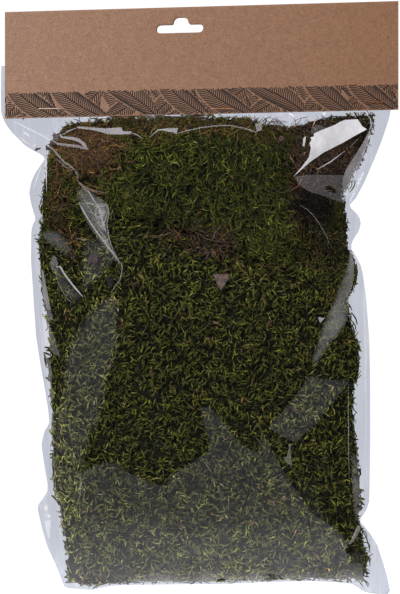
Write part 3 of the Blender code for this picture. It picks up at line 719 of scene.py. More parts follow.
def filmShapes():
    # Each shape's outline, its leans at top and foot or the lamp it is turned to, its brightness and its fade.
    pixel = view["mmPerPixel"]
    shapes = []
    for pixels, top, foot, fade in sheenPixels.values():
        shapes.append((onFilm(pixels), (top, foot), facets["sheenShine"], fade * pixel))
    for pixels, brightness, fade in facetPixels.values():
        lamp = "dim" if brightness < dimBelow else "pale"
        shapes.append((onFilm(pixels), lamp, brightness, fade * pixel if fade > 0 else fade))
    for pixels, width, brightness in creasePixels:
        shapes.append((ribbonOutline(onFilm(pixels), width * pixel), "pale", brightness, 0))
    return shapes


def lookFor(tree, xs, zs, side):
    # How far the film stands out, in front for side -1 and behind for side 1.
    heights = np.zeros(len(xs))
    for index, (x, z) in enumerate(zip(xs, zs)):
        hit = tree.ray_cast(Vector((x, side * 200.0, z)), Vector((0, -side, 0)))[0]
        heights[index] = side * hit.y if hit else 0.0
    return heights


def filmTriangles(outline, shapes):
    # Triangles that fill the film's outline and follow those of its shapes, and the points that they use.
    low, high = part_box("bag_film")
    flat = list(outline)
    edges = loopEdges(0, len(outline))
    for shape, *look in shapes:
        split = splitSides(shape)
        edges += loopEdges(len(flat), len(split))
        flat += split
    fixed = np.array(flat)
    xs = np.arange(low.x / mm, high.x / mm, bag["grid"])
    zs = np.arange(low.z / mm, high.z / mm, bag["grid"] * 0.866)
    gx, gz = np.meshgrid(xs, zs)
    gx[1::2] += bag["grid"] / 2
    gx, gz = gx.ravel(), gz.ravel()
    keep = insideOutline(gx, gz, outline)
    gx, gz = gx[keep], gz[keep]
    least = bag["clearOfShapes"] ** 2
    far = np.array([np.min((fixed[:, 0] - x) ** 2 + (fixed[:, 1] - z) ** 2) > least for x, z in zip(gx, gz)])
    flatXZ, triangles = triangulate(flat + list(zip(gx[far], gz[far])), edges)
    middle = flatXZ[triangles].mean(axis=1)
    triangles = triangles[insideOutline(middle[:, 0], middle[:, 1], outline)]
    used, triangles = np.unique(triangles, return_inverse=True)
    triangles = triangles.reshape(-1, 3)
    x, z = flatXZ[used].T
    a, b, c = triangles.T
    turn = (x[b] - x[a]) * (z[c] - z[a]) - (z[b] - z[a]) * (x[c] - x[a])
    return x, z, np.where(turn[:, None] > 0, triangles, triangles[:, ::-1])   # all face the front


def buildFilm():
    tree = treeOf(nodes["bag_film"])
    outline = filmOutline()
    shapes = filmShapes()
    x, z, triangles = filmTriangles(outline, shapes)
    onBorder = insideDepth(x, z, outline) < 0.05
    front, back = (lookFor(tree, x, z, side) for side in (-1, 1))
    ripples = sum(height * unevenness(x, z, *lumps) for height, lumps in bag["ripples"])
    # The flat margins ripple, and the filled part is taut.
    ripples *= 0.15 + 0.9 * np.clip(1.0 - front / 8.0, 0.0, 1.0)
    front = np.maximum(front + ripples * (front > 1.5), bag["least"])
    back = np.maximum(back - ripples * (back > 1.5), bag["least"])
    front[onBorder] = back[onBorder] = 0.0
    inner = np.where(~onBorder)[0]
    points = np.vstack([np.column_stack([x, -front, z]), np.column_stack([x, back, z])[inner]])
    triangles = triangles[~onBorder[triangles].all(axis=1)]
    rear = rearTwins(inner, len(x))[triangles][:, ::-1]
    item = addMesh("clearBag", points, [np.vstack([triangles, rear])], filmMaterial())
    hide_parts("bag_film")
    setFilmNormals(item, triangles, rear, points, shapes)
    return item


def towardsLamp(places, lamp):
    # The leans with which facets throw a lamp's light straight to the front.
    way = np.array(lamp) - places
    half = way / np.linalg.norm(way, axis=-1)[..., None] + np.array([0.0, -1.0, 0.0])
    return half / np.linalg.norm(half, axis=-1)[..., None]


facets = {
    "tautFrom": 5.0,       # how far out the film starts to be taut, and over how much it gets so
    "tautOver": 6.0,
    "tautLean": 0.06,      # the most that taut film leans up
    "tautCalm": 0.45,      # how much less it leans sideways
    "margin": 5.0,         # the film lies flatter the less it stands out from the middle, below this
    "sheenShine": 2.0,     # of the facets that catch the pale card
    "sheenCalm": 0.1,      # how much of their sideways lean they keep
    "fadeLeast": 0.22,    # the shine left where a facet fades out towards the top
    "edgeLeast": 0.12,     # and where it fades at its edges
}
rearFacets = {"seed": 21, "count": 70, "across": (-110, 130), "down": (-365, -60), "lean": 0.05}


def smoothNormals(points, *sides):
    normals = np.zeros((len(points), 3))
    for faces in sides:
        a, b, c = (points[faces[:, i]] for i in range(3))
        facing = np.cross(b - a, c - a)
        for corner in range(3):
            np.add.at(normals, faces[:, corner], facing)
    return normals / np.maximum(np.linalg.norm(normals, axis=1), 1e-9)[:, None]


def shineFor(lamp, brightness, corners, share):
    # How glossy a facet has to be to show its lamp this bright, a little unevenly.
    shine = brightness * 2 / sum(film["headOnShine"]) / lamps[lamp]["radiance"]
    patchy = 0.10 * np.sin(corners[..., 0] * 0.21 + corners[..., 2] * 0.13)
    return shine * (1.12 - 0.24 * share + patchy + 0.08 * np.sin(corners[..., 2] * 0.31))


def leanRear(part, mx, mz):
    # The film's back has patches that each lean their own way.
    rng = np.random.default_rng(rearFacets["seed"])
    count = rearFacets["count"]
    seeds = np.column_stack([rng.uniform(*rearFacets[way], count) for way in ("across", "down")])
    leans = rng.normal(0, rearFacets["lean"], (count, 2))
    nearest = np.argmin((mx[:, None] - seeds[:, 0]) ** 2 + 0.6 * (mz[:, None] - seeds[:, 1]) ** 2, axis=1)
    part[..., 0] += leans[nearest, 0][:, None]
    part[..., 2] += leans[nearest, 1][:, None]


def setFilmNormals(item, triangles, rear, points, shapes):
    # Each facet is flat glass to the light: its corners share one lean, so its edges are sharp.
    faceNormals = smoothNormals(points, triangles, rear)[np.vstack([triangles, rear])]
    frontPart, rearPart = faceNormals[:len(triangles)], faceNormals[len(triangles):]
    middle = points[triangles].mean(axis=1)
    mx, mz = middle[:, 0], middle[:, 2]
    taut = np.clip((-middle[:, 1] - facets["tautFrom"]) / facets["tautOver"], 0.0, 1.0)[:, None]
    upright = frontPart[..., 2]
    frontPart[..., 2] = np.where(upright < 0, upright * (1 - taut), np.minimum(upright, facets["tautLean"]))
    frontPart[..., 0] *= 1 - facets["tautCalm"] * taut
    for faces, part, side in ((triangles, frontPart, -1.0), (rear, rearPart, 1.0)):
        flat = np.clip(1.0 - np.abs(points[faces][..., 1:2]) / facets["margin"], 0.0, 1.0)
        part[:] = part * (1 - flat) + np.array([0.0, side, 0.0]) * flat      # the margins lie flat
    shineHere = np.ones((len(faceNormals), 3))
    for shape, leans, shine, fade in shapes:
        inside = insideOutline(mx, mz, shape)
        if not inside.any():
            continue
        zTop = max(p[1] for p in shape)
        zFoot = min(p[1] for p in shape)
        corners = points[triangles[inside]]
        share = np.clip((zTop - corners[..., 2]) / (zTop - zFoot), 0, 1)
        if leans in lamps:
            frontPart[inside] = towardsLamp(corners, lamps[leans]["place"])
            shine = shineFor(leans, shine, corners, share)
        else:
            lean = np.radians(leans[0] + (leans[1] - leans[0]) * share)
            sideways = frontPart[inside][..., 0] * facets["sheenCalm"]
            frontPart[inside] = np.stack([sideways, -np.cos(lean), -np.sin(lean)], axis=-1)
        if fade < 0:
            shine = shine * (facets["fadeLeast"] + (1 - facets["fadeLeast"]) * share ** -fade)
        elif fade > 0:
            depth = insideDepth(corners[..., 0], corners[..., 2], shape)
            shine = shine * np.clip(depth / fade, facets["edgeLeast"], 1.0)
        shineHere[:len(triangles)][inside] = shine
    leanRear(rearPart, mx, mz)
    faceNormals /= np.linalg.norm(faceNormals, axis=2)[..., None]
    item.data.normals_split_custom_set(faceNormals.reshape(-1, 3).tolist())
    layer = item.data.color_attributes.new("shine", "FLOAT_COLOR", "CORNER")
    layer.data.foreach_set("color", np.repeat(shineHere.reshape(-1), 4).astype(np.float32))


def heightGrid(tree, side, low, high, step=1.5):
    xs = np.arange(low.x / mm, high.x / mm + step, step)
    zs = np.arange(low.z / mm, high.z / mm + step, step)
    gx, gz = np.meshgrid(xs, zs, indexing="ij")
    heights = lookFor(tree, gx.ravel(), gz.ravel(), side).reshape(gx.shape)
    return {"x0": xs[0], "z0": zs[0], "step": step, "heights": heights}


def readGrid(grid, x, z):
    heights = grid["heights"]
    u = np.clip((x - grid["x0"]) / grid["step"], 0, heights.shape[0] - 1.001)
    v = np.clip((z - grid["z0"]) / grid["step"], 0, heights.shape[1] - 1.001)
    i, j = u.astype(int), v.astype(int)
    fu, fv = u - i, v - j
    low = heights[i, j] * (1 - fu) + heights[i + 1, j] * fu
    high = heights[i, j + 1] * (1 - fu) + heights[i + 1, j + 1] * fu
    return low * (1 - fv) + high * fv


# ---- moss

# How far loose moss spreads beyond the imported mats, as it does in the photo: height and reach in photo pixels.
spread = {
    "left": ((185, 0.0), (200, 2.0), (225, 2.0), (250, 3.0), (265, 3.0), (280, 5.0), (300, 7.0), (330, 8.0),
             (360, 7.5), (385, 6.0), (410, 4.5), (450, 3.0), (500, 2.0), (556, 1.5), (567, 4.5), (580, 3.5)),
    "right": ((235, 0.0), (250, 3.5), (260, 7.0), (275, 8.0), (288, 5.0), (300, 0.0), (340, 1.5), (380, 1.0),
              (420, 2.0), (450, 3.0), (480, 4.0), (500, 6.0), (512, 6.0), (522, 3.0), (535, 1.0), (580, 2.0)),
    "edges": (46.0, 351.0),
    "depth": 42.0,         # how far in from each side the moss gives way
    "foot": (556.0, 579.0, 3.8),       # where it starts and ends to sink, and how far it does
    "footSides": (58.0, 350.0),
    "footFade": 12.0,
}


def spreadMoss(places):
    # The places with their moss pulled out towards the film's edges.
    px, py = toPhoto(places[:, 0], places[:, 2])
    left, right = (np.interp(py, *np.array(spread[side]).T) for side in ("left", "right"))
    shift = right * np.clip(1 - (spread["edges"][1] - px) / spread["depth"], 0, 1)
    shift -= left * np.clip(1 - (px - spread["edges"][0]) / spread["depth"], 0, 1)
    top, foot, most = spread["foot"]
    start, end = spread["footSides"]
    inwards = np.clip(np.minimum(px - start, end - px) / spread["footFade"], 0, 1)
    drop = most * np.clip((py - top) / (foot - top), 0, 1) * inwards
    return places + view["mmPerPixel"] * np.column_stack([shift, np.zeros(len(places)), -drop])


def coverOfMats(side, low, high):
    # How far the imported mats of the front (-1) or the back (1) stand out.
    places, faces = [], []
    for details in mats.values():
        if ("back" in details["node"]) != (side > 0):
            continue
        base = len(places)
        mesh = nodes[details["node"]].data
        places += [v.co / mm for v in mesh.vertices]
        faces += [[base + i for i in p.vertices] for p in mesh.polygons]
    return heightGrid(BVHTree.FromPolygons(spreadMoss(np.array(places)).tolist(), faces), side, low, high)


def widened(grid):
    # The same, and a little beyond the rims.
    heights = grid["heights"]
    for reach in range(4):
        wide = np.pad(heights, 1)
        around = np.stack([wide[:-2, 1:-1], wide[2:, 1:-1], wide[1:-1, :-2], wide[1:-1, 2:]])
        heights = np.where(heights > 0, heights, around.max(axis=0) * 0.94)
    return {**grid, "heights": heights}


shades = {
    "green": (0.124, 0.140, 0.013),
    "bright": (0.200, 0.214, 0.020),
    "olive": (0.165, 0.150, 0.022),
    "straw": (0.270, 0.220, 0.060),
    "rust": (0.310, 0.150, 0.055),
    "ochre": (0.280, 0.160, 0.035),
    "brown": (0.140, 0.085, 0.045),
    "umber": (0.072, 0.042, 0.028),
    "pinkTan": (0.330, 0.205, 0.145),
}

# Each mat: its node, how far its shoots stray in degrees, its layers, its shoots' length and radius, how curly
# and how unevenly light they are, and its usual shades. A layer is a name ending, a number of shoots, rings along
# each, how deep they start and end, and how light they are: an under layer is darker, as painted shade deep
# among the shoots. A depth is measured out from the imported mat's surface, which lies just under the film.
mats = {
    "mossUpper": {
        "node": "moss_mat_upper", "slot": "moss_green", "jitter": 24,
        "layers": (("Under", 5000, 3, (-4.2, -3.4), (-3.2, -1.2), 0.36),
                   ("Shoots", 7100, 5, (-3.8, -2.0), (-1.0, 1.5), 1.0)),
        "length": (5.4, 11.0), "radius": (0.24, 0.36), "curl": 0.50, "uneven": (0.52, 0.12),
        "mix": (("green", 0.62), ("bright", 0.22), ("olive", 0.13), ("straw", 0.03)),
    },
    "mossTurned": {
        "node": "moss_mat_turned", "slot": "moss_underside", "jitter": 80,
        "layers": (("Shoots", 1900, 5, (-3.6, -1.8), (-1.6, 1.1), 1.0),),
        "length": (4.0, 8.0), "radius": (0.22, 0.42), "curl": 0.45,
        "mix": (("umber", 0.56), ("brown", 0.32), ("green", 0.06), ("pinkTan", 0.06)),
    },
    "mossRight": {
        "node": "moss_mat_right", "slot": "moss_olive", "jitter": 40,
        "layers": (("Shoots", 2600, 5, (-3.8, -1.8), (-2.0, 1.1), 1.0),),
        "length": (3.2, 6.4), "radius": (0.32, 0.50), "curl": 0.30,
        "mix": (("olive", 0.30), ("green", 0.52), ("brown", 0.12), ("ochre", 0.06)),
    },
    "mossLower": {
        "node": "moss_mat_lower", "slot": "moss_olive", "jitter": 42,
        "layers": (("Under", 8700, 3, (-4.4, -3.4), (-3.2, -1.2), 0.54),
                   ("Shoots", 7600, 5, (-4.0, -2.4), (-1.2, 1.5), 1.0)),
        "length": (3.0, 8.2), "radius": (0.35, 0.58), "curl": 0.18, "uneven": (0.33, 0.5),
        "mix": (("olive", 0.40), ("green", 0.34), ("bright", 0.20), ("straw", 0.06)),
    },
    "mossBackUpper": {
        "node": "moss_mat_back_upper", "slot": "moss_green", "jitter": 34,
        "layers": (("Shoots", 3200, 4, (-3.4, -1.8), (-1.6, 1.3), 1.0),),
        "length": (5.0, 9.0), "radius": (0.70, 0.95), "curl": 0.30,
        "mix": (("green", 0.52), ("olive", 0.25), ("brown", 0.18), ("straw", 0.05)),
    },
    "mossBackLower": {
        "node": "moss_mat_back_lower", "slot": "moss_olive", "jitter": 34,
        "layers": (("Shoots", 3200, 4, (-3.4, -1.8), (-1.6, 1.3), 1.0),),
        "length": (5.0, 9.0), "radius": (0.70, 0.95), "curl": 0.30,
        "mix": (("olive", 0.42), ("green", 0.34), ("brown", 0.18), ("straw", 0.06)),
    },
}

# Patches of another shade on the front: centre and reach in photo pixels, shade, and share of the shoots.
patches = [
    ((84, 147), (32, 22), "rust", 0.80),
    ((86, 146), (28, 18), "pinkTan", 0.20),
    ((92, 166), (22, 14), "brown", 0.45),
    ((82, 180), (12, 8), "umber", 0.60),
    ((52, 192), (9, 36), "rust", 0.14),
    ((58, 180), (9, 20), "ochre", 0.22),
    ((70, 237), (10, 9), "rust", 0.55),
    ((108, 215), (12, 14), "brown", 0.40),
    ((150, 124), (110, 9), "ochre", 0.55),
    ((150, 124), (110, 9), "brown", 0.40),
    ((300, 150), (16, 40), "brown", 0.45),
    ((178, 230), (30, 8), "brown", 0.26),
    ((214, 245), (20, 8), "brown", 0.40),
    ((212, 246), (18, 7), "pinkTan", 0.12),
    ((190, 285), (110, 26), "straw", 0.10),
    ((316, 244), (16, 24), "ochre", 0.26),
    ((302, 224), (8, 13), "ochre", 0.60),
    ((70, 250), (20, 30), "brown", 0.30),
    ((330, 560), (40, 14), "brown", 0.25),
    ((90, 575), (26, 8), "brown", 0.35),
    ((150, 240), (40, 10), "brown", 0.20),
]

# Places on the front that are lighter or darker than the rest: centre and reach in photo pixels, and lightness.
# Some of them are painted shade and some painted light, as marked below.
lightness = [
    # painted shadow under the folded mat, and painted shade beyond it
    ((314, 207), (17, 13), 0.17),
    ((326, 240), (30, 34), 0.40),
    ((155, 222), (26, 16), 0.75),
    ((225, 180), (110, 52), 0.72),
    # painted shade under the upper mat's edge
    ((222, 233), (18, 9), 0.80),
    ((56, 200), (14, 40), 0.64),
    # painted light along the left rim, where light comes through the bag
    ((62, 490), (22, 95), 1.80),
    ((54, 335), (12, 70), 1.25),
    ((350, 529), (9, 10), 1.9),
    ((322, 160), (34, 18), 1.3),
    ((324, 345), (12, 20), 1.25),
    ((190, 282), (110, 24), 1.15),
    ((350, 551), (6, 6), 0.30),
]
# Painted light: the moss on the back is painted lighter, standing in for light that hardly reaches it.
backPaintedLight = 1.6
# Painted light and painted sheen: moss under the sheen facets is painted lighter, most towards the foot, and
# bluer, as the film's sheen over it.
paintedSheenLight = {      # painted light: the moss under the sheen facets is painted lighter, and bluer as painted sheen
    "heights": (470.0, 560.0),      # in photo pixels, between which the foot's lightness grows
    "lightness": (1.45, 2.40),
    "others": 1.75,
    "bluer": 1.3,
}

# Where the shoots are combed one way: centre and reach in photo pixels, heading in degrees from +X, and pull.
combs = [
    ((270, 190), (60, 60), -62, 1.5),
    ((180, 170), (70, 50), -100, 0.9),
    ((110, 190), (50, 50), -50, 0.7),
    ((150, 126), (110, 12), 8, 1.2),
    ((320, 230), (30, 30), -60, 1.0),
    ((150, 330), (80, 70), 10, 0.35),
    ((260, 300), (60, 50), -35, 0.5),
    ((200, 500), (150, 90), 70, 0.35),
    ((90, 400), (40, 80), 60, 0.5),
]


def pullAt(px, py, centre, reach):
    away = ((px - centre[0]) / reach[0]) ** 2 + ((py - centre[1]) / reach[1]) ** 2
    return np.exp(-away ** 1.5)


def placesOn(node, count, side, rng):
    # Random places on a mat's outward faces, with the faces' normals.
    mesh = nodes[node].data
    mesh.calc_loop_triangles()
    corners = np.array([v.co[:] for v in mesh.vertices]) / mm
    faces = np.array([t.vertices[:] for t in mesh.loop_triangles])
    a, b, c = corners[faces[:, 0]], corners[faces[:, 1]], corners[faces[:, 2]]
    normals = np.cross(b - a, c - a)
    areas = np.linalg.norm(normals, axis=1) / 2
    normals /= np.maximum(2 * areas, 1e-9)[:, None]
    outward = normals[:, 1] * side > -0.4
    chance = np.where(outward, areas, 0.0)
    chosen = rng.choice(len(faces), count, p=chance / chance.sum())
    u, v = rng.random(count), rng.random(count)
    fold = u + v > 1
    u[fold], v[fold] = 1 - u[fold], 1 - v[fold]
    places = a[chosen] + (b - a)[chosen] * u[:, None] + (c - a)[chosen] * v[:, None]
    return spreadMoss(places), normals[chosen]


def headingsAt(places, seed, jitter, rng):
    x, z = places[:, 0], places[:, 2]
    px, py = toPhoto(x, z)
    angle = (unevenness(x, z, 17.0, 17.0, seed) * 2.6 + unevenness(x, z, 7.0, 7.0, seed + 9) * 1.1) * math.pi
    flow = np.column_stack([np.cos(angle), np.sin(angle)]) * 0.8
    for centre, reach, heading, pull in combs:
        turn = math.radians(heading)
        flow += (pull * pullAt(px, py, centre, reach))[:, None] * np.array([math.cos(turn), math.sin(turn)])
    angle = np.arctan2(flow[:, 1], flow[:, 0])
    return angle + np.radians(rng.normal(0, jitter, len(places)))


def shadesAt(places, mix, kind, rng, uneven=(0.50, 0.2)):
    # kind is "front" or "back" for a mat's own shoots, and "loose" for bits that lie on the front mats.
    # uneven is how much lightness varies from shoot to shoot and from clump to clump.
    names = list(shades)
    table = np.array([shades[n] for n in names])
    share = np.array([dict(mix).get(n, 0.0) for n in names])
    picked = rng.choice(len(names), len(places), p=share / share.sum())
    x, z = places[:, 0], places[:, 2]
    px, py = toPhoto(x, z)
    if kind == "front":
        for centre, reach, name, strength in patches:
            taken = rng.random(len(places)) < strength * pullAt(px, py, centre, reach)
            picked[taken] = names.index(name)
    clumps = 0.30 * unevenness(x, z, 24.0, 24.0, 40.0) + uneven[1] * unevenness(x, z, 7.5, 7.5, 60.0)
    light = np.exp(rng.normal(0, uneven[0], len(places)) + clumps)
    # Painted light on the back's moss.
    if kind == "back":
        return table[picked] * backPaintedLight * light[:, None]
    for centre, reach, factor in lightness:
        light *= factor ** pullAt(px, py, centre, reach)
    # Painted light and sheen: under the sheen facets the moss is painted lighter, most towards the foot, and its
    # blue raised.
    foot = np.interp(py, paintedSheenLight["heights"], paintedSheenLight["lightness"])
    colours = table[picked] * light[:, None]
    for name, (outline, *leans) in sheenPixels.items():
        inside = insideOutline(px, py, outline)
        lighter = foot[inside] if name == "bottom" else paintedSheenLight["others"]
        colours[inside, 2] += paintedSheenLight["bluer"] * np.minimum(colours[inside, 2], 0.12 * colours[inside, 1])
        colours[inside] *= np.reshape(lighter, (-1, 1))
    return colours


growth = {
    "flatness": 0.85,      # of a shoot's cross-section
    "twist": 0.5,          # from ring to ring
    "tipAt": 0.75,         # share of the longest length at which a shoot must still be over moss
    "centre": 0.4,         # share of its length that lies behind a shoot's own place
    "bend": 0.6,
    "bendFrom": 0.3,
    "sway": 5.0,
    "uneven": 0.14,        # in thickness, from ring to ring
    "leastRoom": 0.6,      # under the film
}


def sweepShoots(paths, radii, upwards, sides=3):
    # Tubes along many paths at once. paths is shoots x rings x 3, radii is shoots x rings.
    shoots, rings = radii.shape
    ahead = np.gradient(paths, axis=1)
    ahead /= np.maximum(np.linalg.norm(ahead, axis=2), 1e-9)[..., None]
    across = np.cross(ahead, upwards[:, None, :])
    across /= np.maximum(np.linalg.norm(across, axis=2), 1e-6)[..., None]
    up = np.cross(across, ahead)
    turns = np.arange(sides) * 2 * math.pi / sides
    twist = np.arange(rings)[None, :, None] * growth["twist"]
    angle = turns[None, None, :] + twist + math.pi / 2
    ring = np.cos(angle)[..., None] * across[:, :, None, :]
    ring = ring + np.sin(angle)[..., None] * up[:, :, None, :] * growth["flatness"]
    points = paths[:, :, None, :] + ring * radii[:, :, None, None]
    index = np.arange(rings * sides).reshape(rings, sides)
    quads = np.stack([index[:-1], np.roll(index[:-1], -1, 1), np.roll(index[1:], -1, 1), index[1:]], axis=-1)
    start = (np.arange(shoots) * rings * sides)[:, None, None]
    quads = quads.reshape(1, -1, 4) + start
    ends = np.stack([index[0][::-1], index[-1]]).reshape(1, 2, sides) + start
    return points.reshape(-1, 3), quads.reshape(-1, 4), ends.reshape(-1, sides)


def underFilm(points, grids):
    # Keeps points of a piece inside the bag.
    front = readGrid(grids[-1], points[..., 0], points[..., 2]) - bag["underFilm"]
    back = readGrid(grids[1], points[..., 0], points[..., 2]) - bag["underFilm"]
    points[..., 1] = np.clip(points[..., 1], -np.maximum(front, 0.05), np.maximum(back, 0.05))
    return points


# A shoot's lightness runs from dark at its base to light at its tip: partly the older stem's own colour, partly
# painted shade where the shoot sinks into the mat.
shootBodies = {     # thickness and lightness along a shoot, by its number of rings
    3: ((0.0, 0.55, 1.0), (0.75, 1.0, 0.55), (0.35, 0.80, 1.15)),
    4: ((0.0, 0.40, 0.80, 1.0), (0.70, 1.0, 1.0, 0.55), (0.35, 0.70, 1.0, 1.15)),
    5: ((0.0, 0.30, 0.60, 0.86, 1.0), (0.60, 0.95, 1.05, 0.98, 0.58), (0.16, 0.42, 0.80, 1.10, 1.35)),
}
rims = {        # how shoots change where a mat turns away from the eye
    "start": 1.15,
    "inwards": 0.93,       # share of the shoots that turn back from the rim
    "shorter": 0.42,
    "finer": 0.30,
    "bent": 0.5,
    "shallower": 0.55,
    "pressed": 0.86,       # share of them that the film holds flat
    "lighter": 0.9,        # light comes through the bag there
}


def headAlong(normals, heading, steepest):
    # The directions with these headings that lie along the faces with these normals.
    flow = np.column_stack([np.cos(heading), np.zeros(len(heading)), np.sin(heading)])
    along = flow - normals * np.sum(flow * normals, axis=1)[:, None]
    weak = np.linalg.norm(along, axis=1) < steepest
    along[weak] += np.cross(normals[weak], np.array([0.3, 1.0, 0.1]))
    return along / np.maximum(np.linalg.norm(along, axis=1), 1e-6)[:, None]


def growLayer(name, details, layer, grids, covers, material, rng):
    ending, count, rings, starts, tips, paintedDepthShade = layer
    side = 1 if "back" in details["node"] else -1
    places, normals = placesOn(details["node"], count, side, rng)
    along = headAlong(normals, headingsAt(places, 3.0 + len(name), details["jitter"], rng), 0.3)
    tipPlaces = places + along * growth["tipAt"] * details["length"][1]
    stray = readGrid(covers[side], tipPlaces[:, 0], tipPlaces[:, 2]) < 0.5
    along[stray & (rng.random(count) < rims["inwards"])] *= -1.0
    sideways = np.cross(normals, along)
    rim = np.clip(rims["start"] - np.abs(normals[:, 1]), 0.0, 1.0)
    length = rng.uniform(*details["length"], count) * (1 - rims["shorter"] * rim)
    radius = rng.uniform(*details["radius"], count) * (1 - rims["finer"] * rim)
    bend = rng.normal(0, growth["bend"] + details["curl"], count) * (1 + rims["bent"] * rim)
    start = rng.uniform(*starts, count) * (1 - rims["shallower"] * rim)
    tip = rng.uniform(*tips, count)
    tip -= np.where(rng.random(count) < rims["pressed"], rim, 0.0) * (tip + 0.9)
    share, body, light = (np.array(row) for row in shootBodies[rings])
    wave = rng.uniform(0, 2 * math.pi, count)
    sway = details["curl"] * np.sin(growth["sway"] * share[None, :] + wave[:, None])
    angle = bend[:, None] * (share - growth["bendFrom"])[None, :] + sway
    stride = length[:, None] * np.diff(share, prepend=0.0)[None, :]
    forward = np.cumsum(np.cos(angle) * stride, axis=1) - length[:, None] * growth["centre"]
    swerve = np.cumsum(np.sin(angle) * stride, axis=1)
    rise = start[:, None] + (tip - start)[:, None] * np.sin(share * math.pi / 2)[None, :] ** 1.2
    paths = places[:, None, :] + along[:, None, :] * forward[..., None]
    paths = paths + sideways[:, None, :] * swerve[..., None] + normals[:, None, :] * rise[..., None]
    uneven = growth["uneven"]
    radii = radius[:, None] * body[None, :] * (1 + rng.uniform(-uneven, uneven, (count, rings)))
    room = [readGrid(grids[face], paths[..., 0], paths[..., 2]) for face in (-1, 1)]
    kept = (np.minimum(*room) > growth["leastRoom"]).all(axis=1)
    kind = "front" if side < 0 else "back"
    colours = shadesAt(places[kept], details["mix"], kind, rng, details.get("uneven", (0.36, 0.5)))
    # Painted shade and light: the under layer is darker, as the shade deep among the shoots, and shoots at a
    # mat's rim lighter, where light comes through the bag.
    colours *= (paintedDepthShade * (1 + rims["lighter"] * rim[kept]))[:, None]
    item = addShoots(name + ending, paths[kept], radii[kept], colours, light, grids, material,
                     normals[kept])
    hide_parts(details["node"])
    return item


def addShoots(name, paths, radii, colours, light, grids, material, upwards=None):
    if upwards is None:
        upwards = np.tile([0.0, -1.0, 0.0], (len(paths), 1))
    points, quads, ends = sweepShoots(underFilm(paths, grids), radii, upwards)
    points = underFilm(points, grids)
    tone = colours[:, None, None, :] * np.asarray(light)[None, :, None, None]
    tone = np.broadcast_to(tone, (*radii.shape, 3, 3)).reshape(-1, 3)
    item = addMesh(name, points, [quads, ends], material)
    colourPoints(item, tone)
    print(name, len(colours), "strands,", len(quads) * 2 + len(ends), "triangles")
    return item


# Tangles of bare stems: areas as centres and reaches in photo pixels, number, length, radius, depth and shades.
tangles = {
    "valleyStems": {
        "areas": (((180, 231), (22, 5)), ((214, 242), (18, 9)), ((208, 240), (24, 8)), ((222, 246), (12, 8))),
        "count": 200, "length": (5.0, 12.0), "radius": (0.16, 0.34), "depth": (-1.0, 1.3),
        "mix": (("brown", 0.48), ("pinkTan", 0.18), ("rust", 0.14), ("umber", 0.20)), "slot": "moss_underside",
    },
    "rustFibres": {
        "areas": (((82, 148), (30, 20)), ((94, 140), (24, 14)), ((90, 160), (20, 10)), ((80, 150), (34, 24))),
        "count": 1050, "length": (4.0, 9.0), "radius": (0.16, 0.34), "depth": (-1.2, 1.3),
        "mix": (("rust", 0.58), ("pinkTan", 0.16), ("ochre", 0.18), ("brown", 0.08)), "slot": "moss_underside",
    },
    "leftStrands": {
        "areas": (((53, 173), (6, 12)), ((56, 198), (6, 15)), ((60, 215), (5, 10)), ((70, 237), (8, 6))),
        "count": 110, "length": (5.0, 10.0), "radius": (0.20, 0.38), "depth": (0.4, 1.4),
        "mix": (("rust", 0.50), ("ochre", 0.40), ("pinkTan", 0.10)), "slot": "moss_underside",
    },
    "darkFibres": {
        "areas": (((335, 150), (36, 34)), ((322, 180), (24, 14)), ((308, 206), (12, 12)),
                  ((350, 150), (20, 34))),
        "count": 1150, "length": (6.0, 14.0), "radius": (0.15, 0.32), "depth": (-1.6, 1.2),
        "mix": (("umber", 0.34), ("brown", 0.34), ("pinkTan", 0.15), ("rust", 0.17)), "slot": "moss_underside",
    },
    "topStems": {
        "areas": (((150, 124), (110, 7)), ((260, 128), (30, 8))),
        "count": 420, "length": (6.0, 13.0), "radius": (0.18, 0.36), "depth": (-1.0, 1.2),
        "mix": (("ochre", 0.45), ("brown", 0.30), ("straw", 0.15), ("olive", 0.10)), "slot": "moss_green",
    },
    "topFringe": {
        "areas": (((135, 117), (30, 2.6)), ((185, 115), (30, 2.6)), ((120, 119), (20, 3)),
                  ((160, 118), (50, 3))),
        "count": 760, "length": (3.0, 6.5), "radius": (0.28, 0.48), "depth": (-1.0, 0.6), "least": 3.2,
        "mix": (("olive", 0.35), ("brown", 0.30), ("ochre", 0.20), ("green", 0.15)), "slot": "moss_green",
    },
}


stemBody = (0.5, 1.0, 0.9, 1.0, 0.85, 0.4)      # thickness along a stem
crumbBody = (0.5, 1.0, 0.9, 0.4)


def wander(x, z, lengths, turn, rings, rng):
    # The X and Z along crooked paths, one from each place.
    count = len(x)
    heading = rng.uniform(0, 2 * math.pi, count)[:, None]
    heading = heading + np.cumsum(rng.normal(0, turn, (count, rings)), axis=1)
    stride = (rng.uniform(*lengths, count) / (rings - 1))[:, None]
    x = x[:, None] + np.cumsum(np.cos(heading) * stride, axis=1)
    z = z[:, None] + np.cumsum(np.sin(heading) * stride, axis=1)
    return x, z


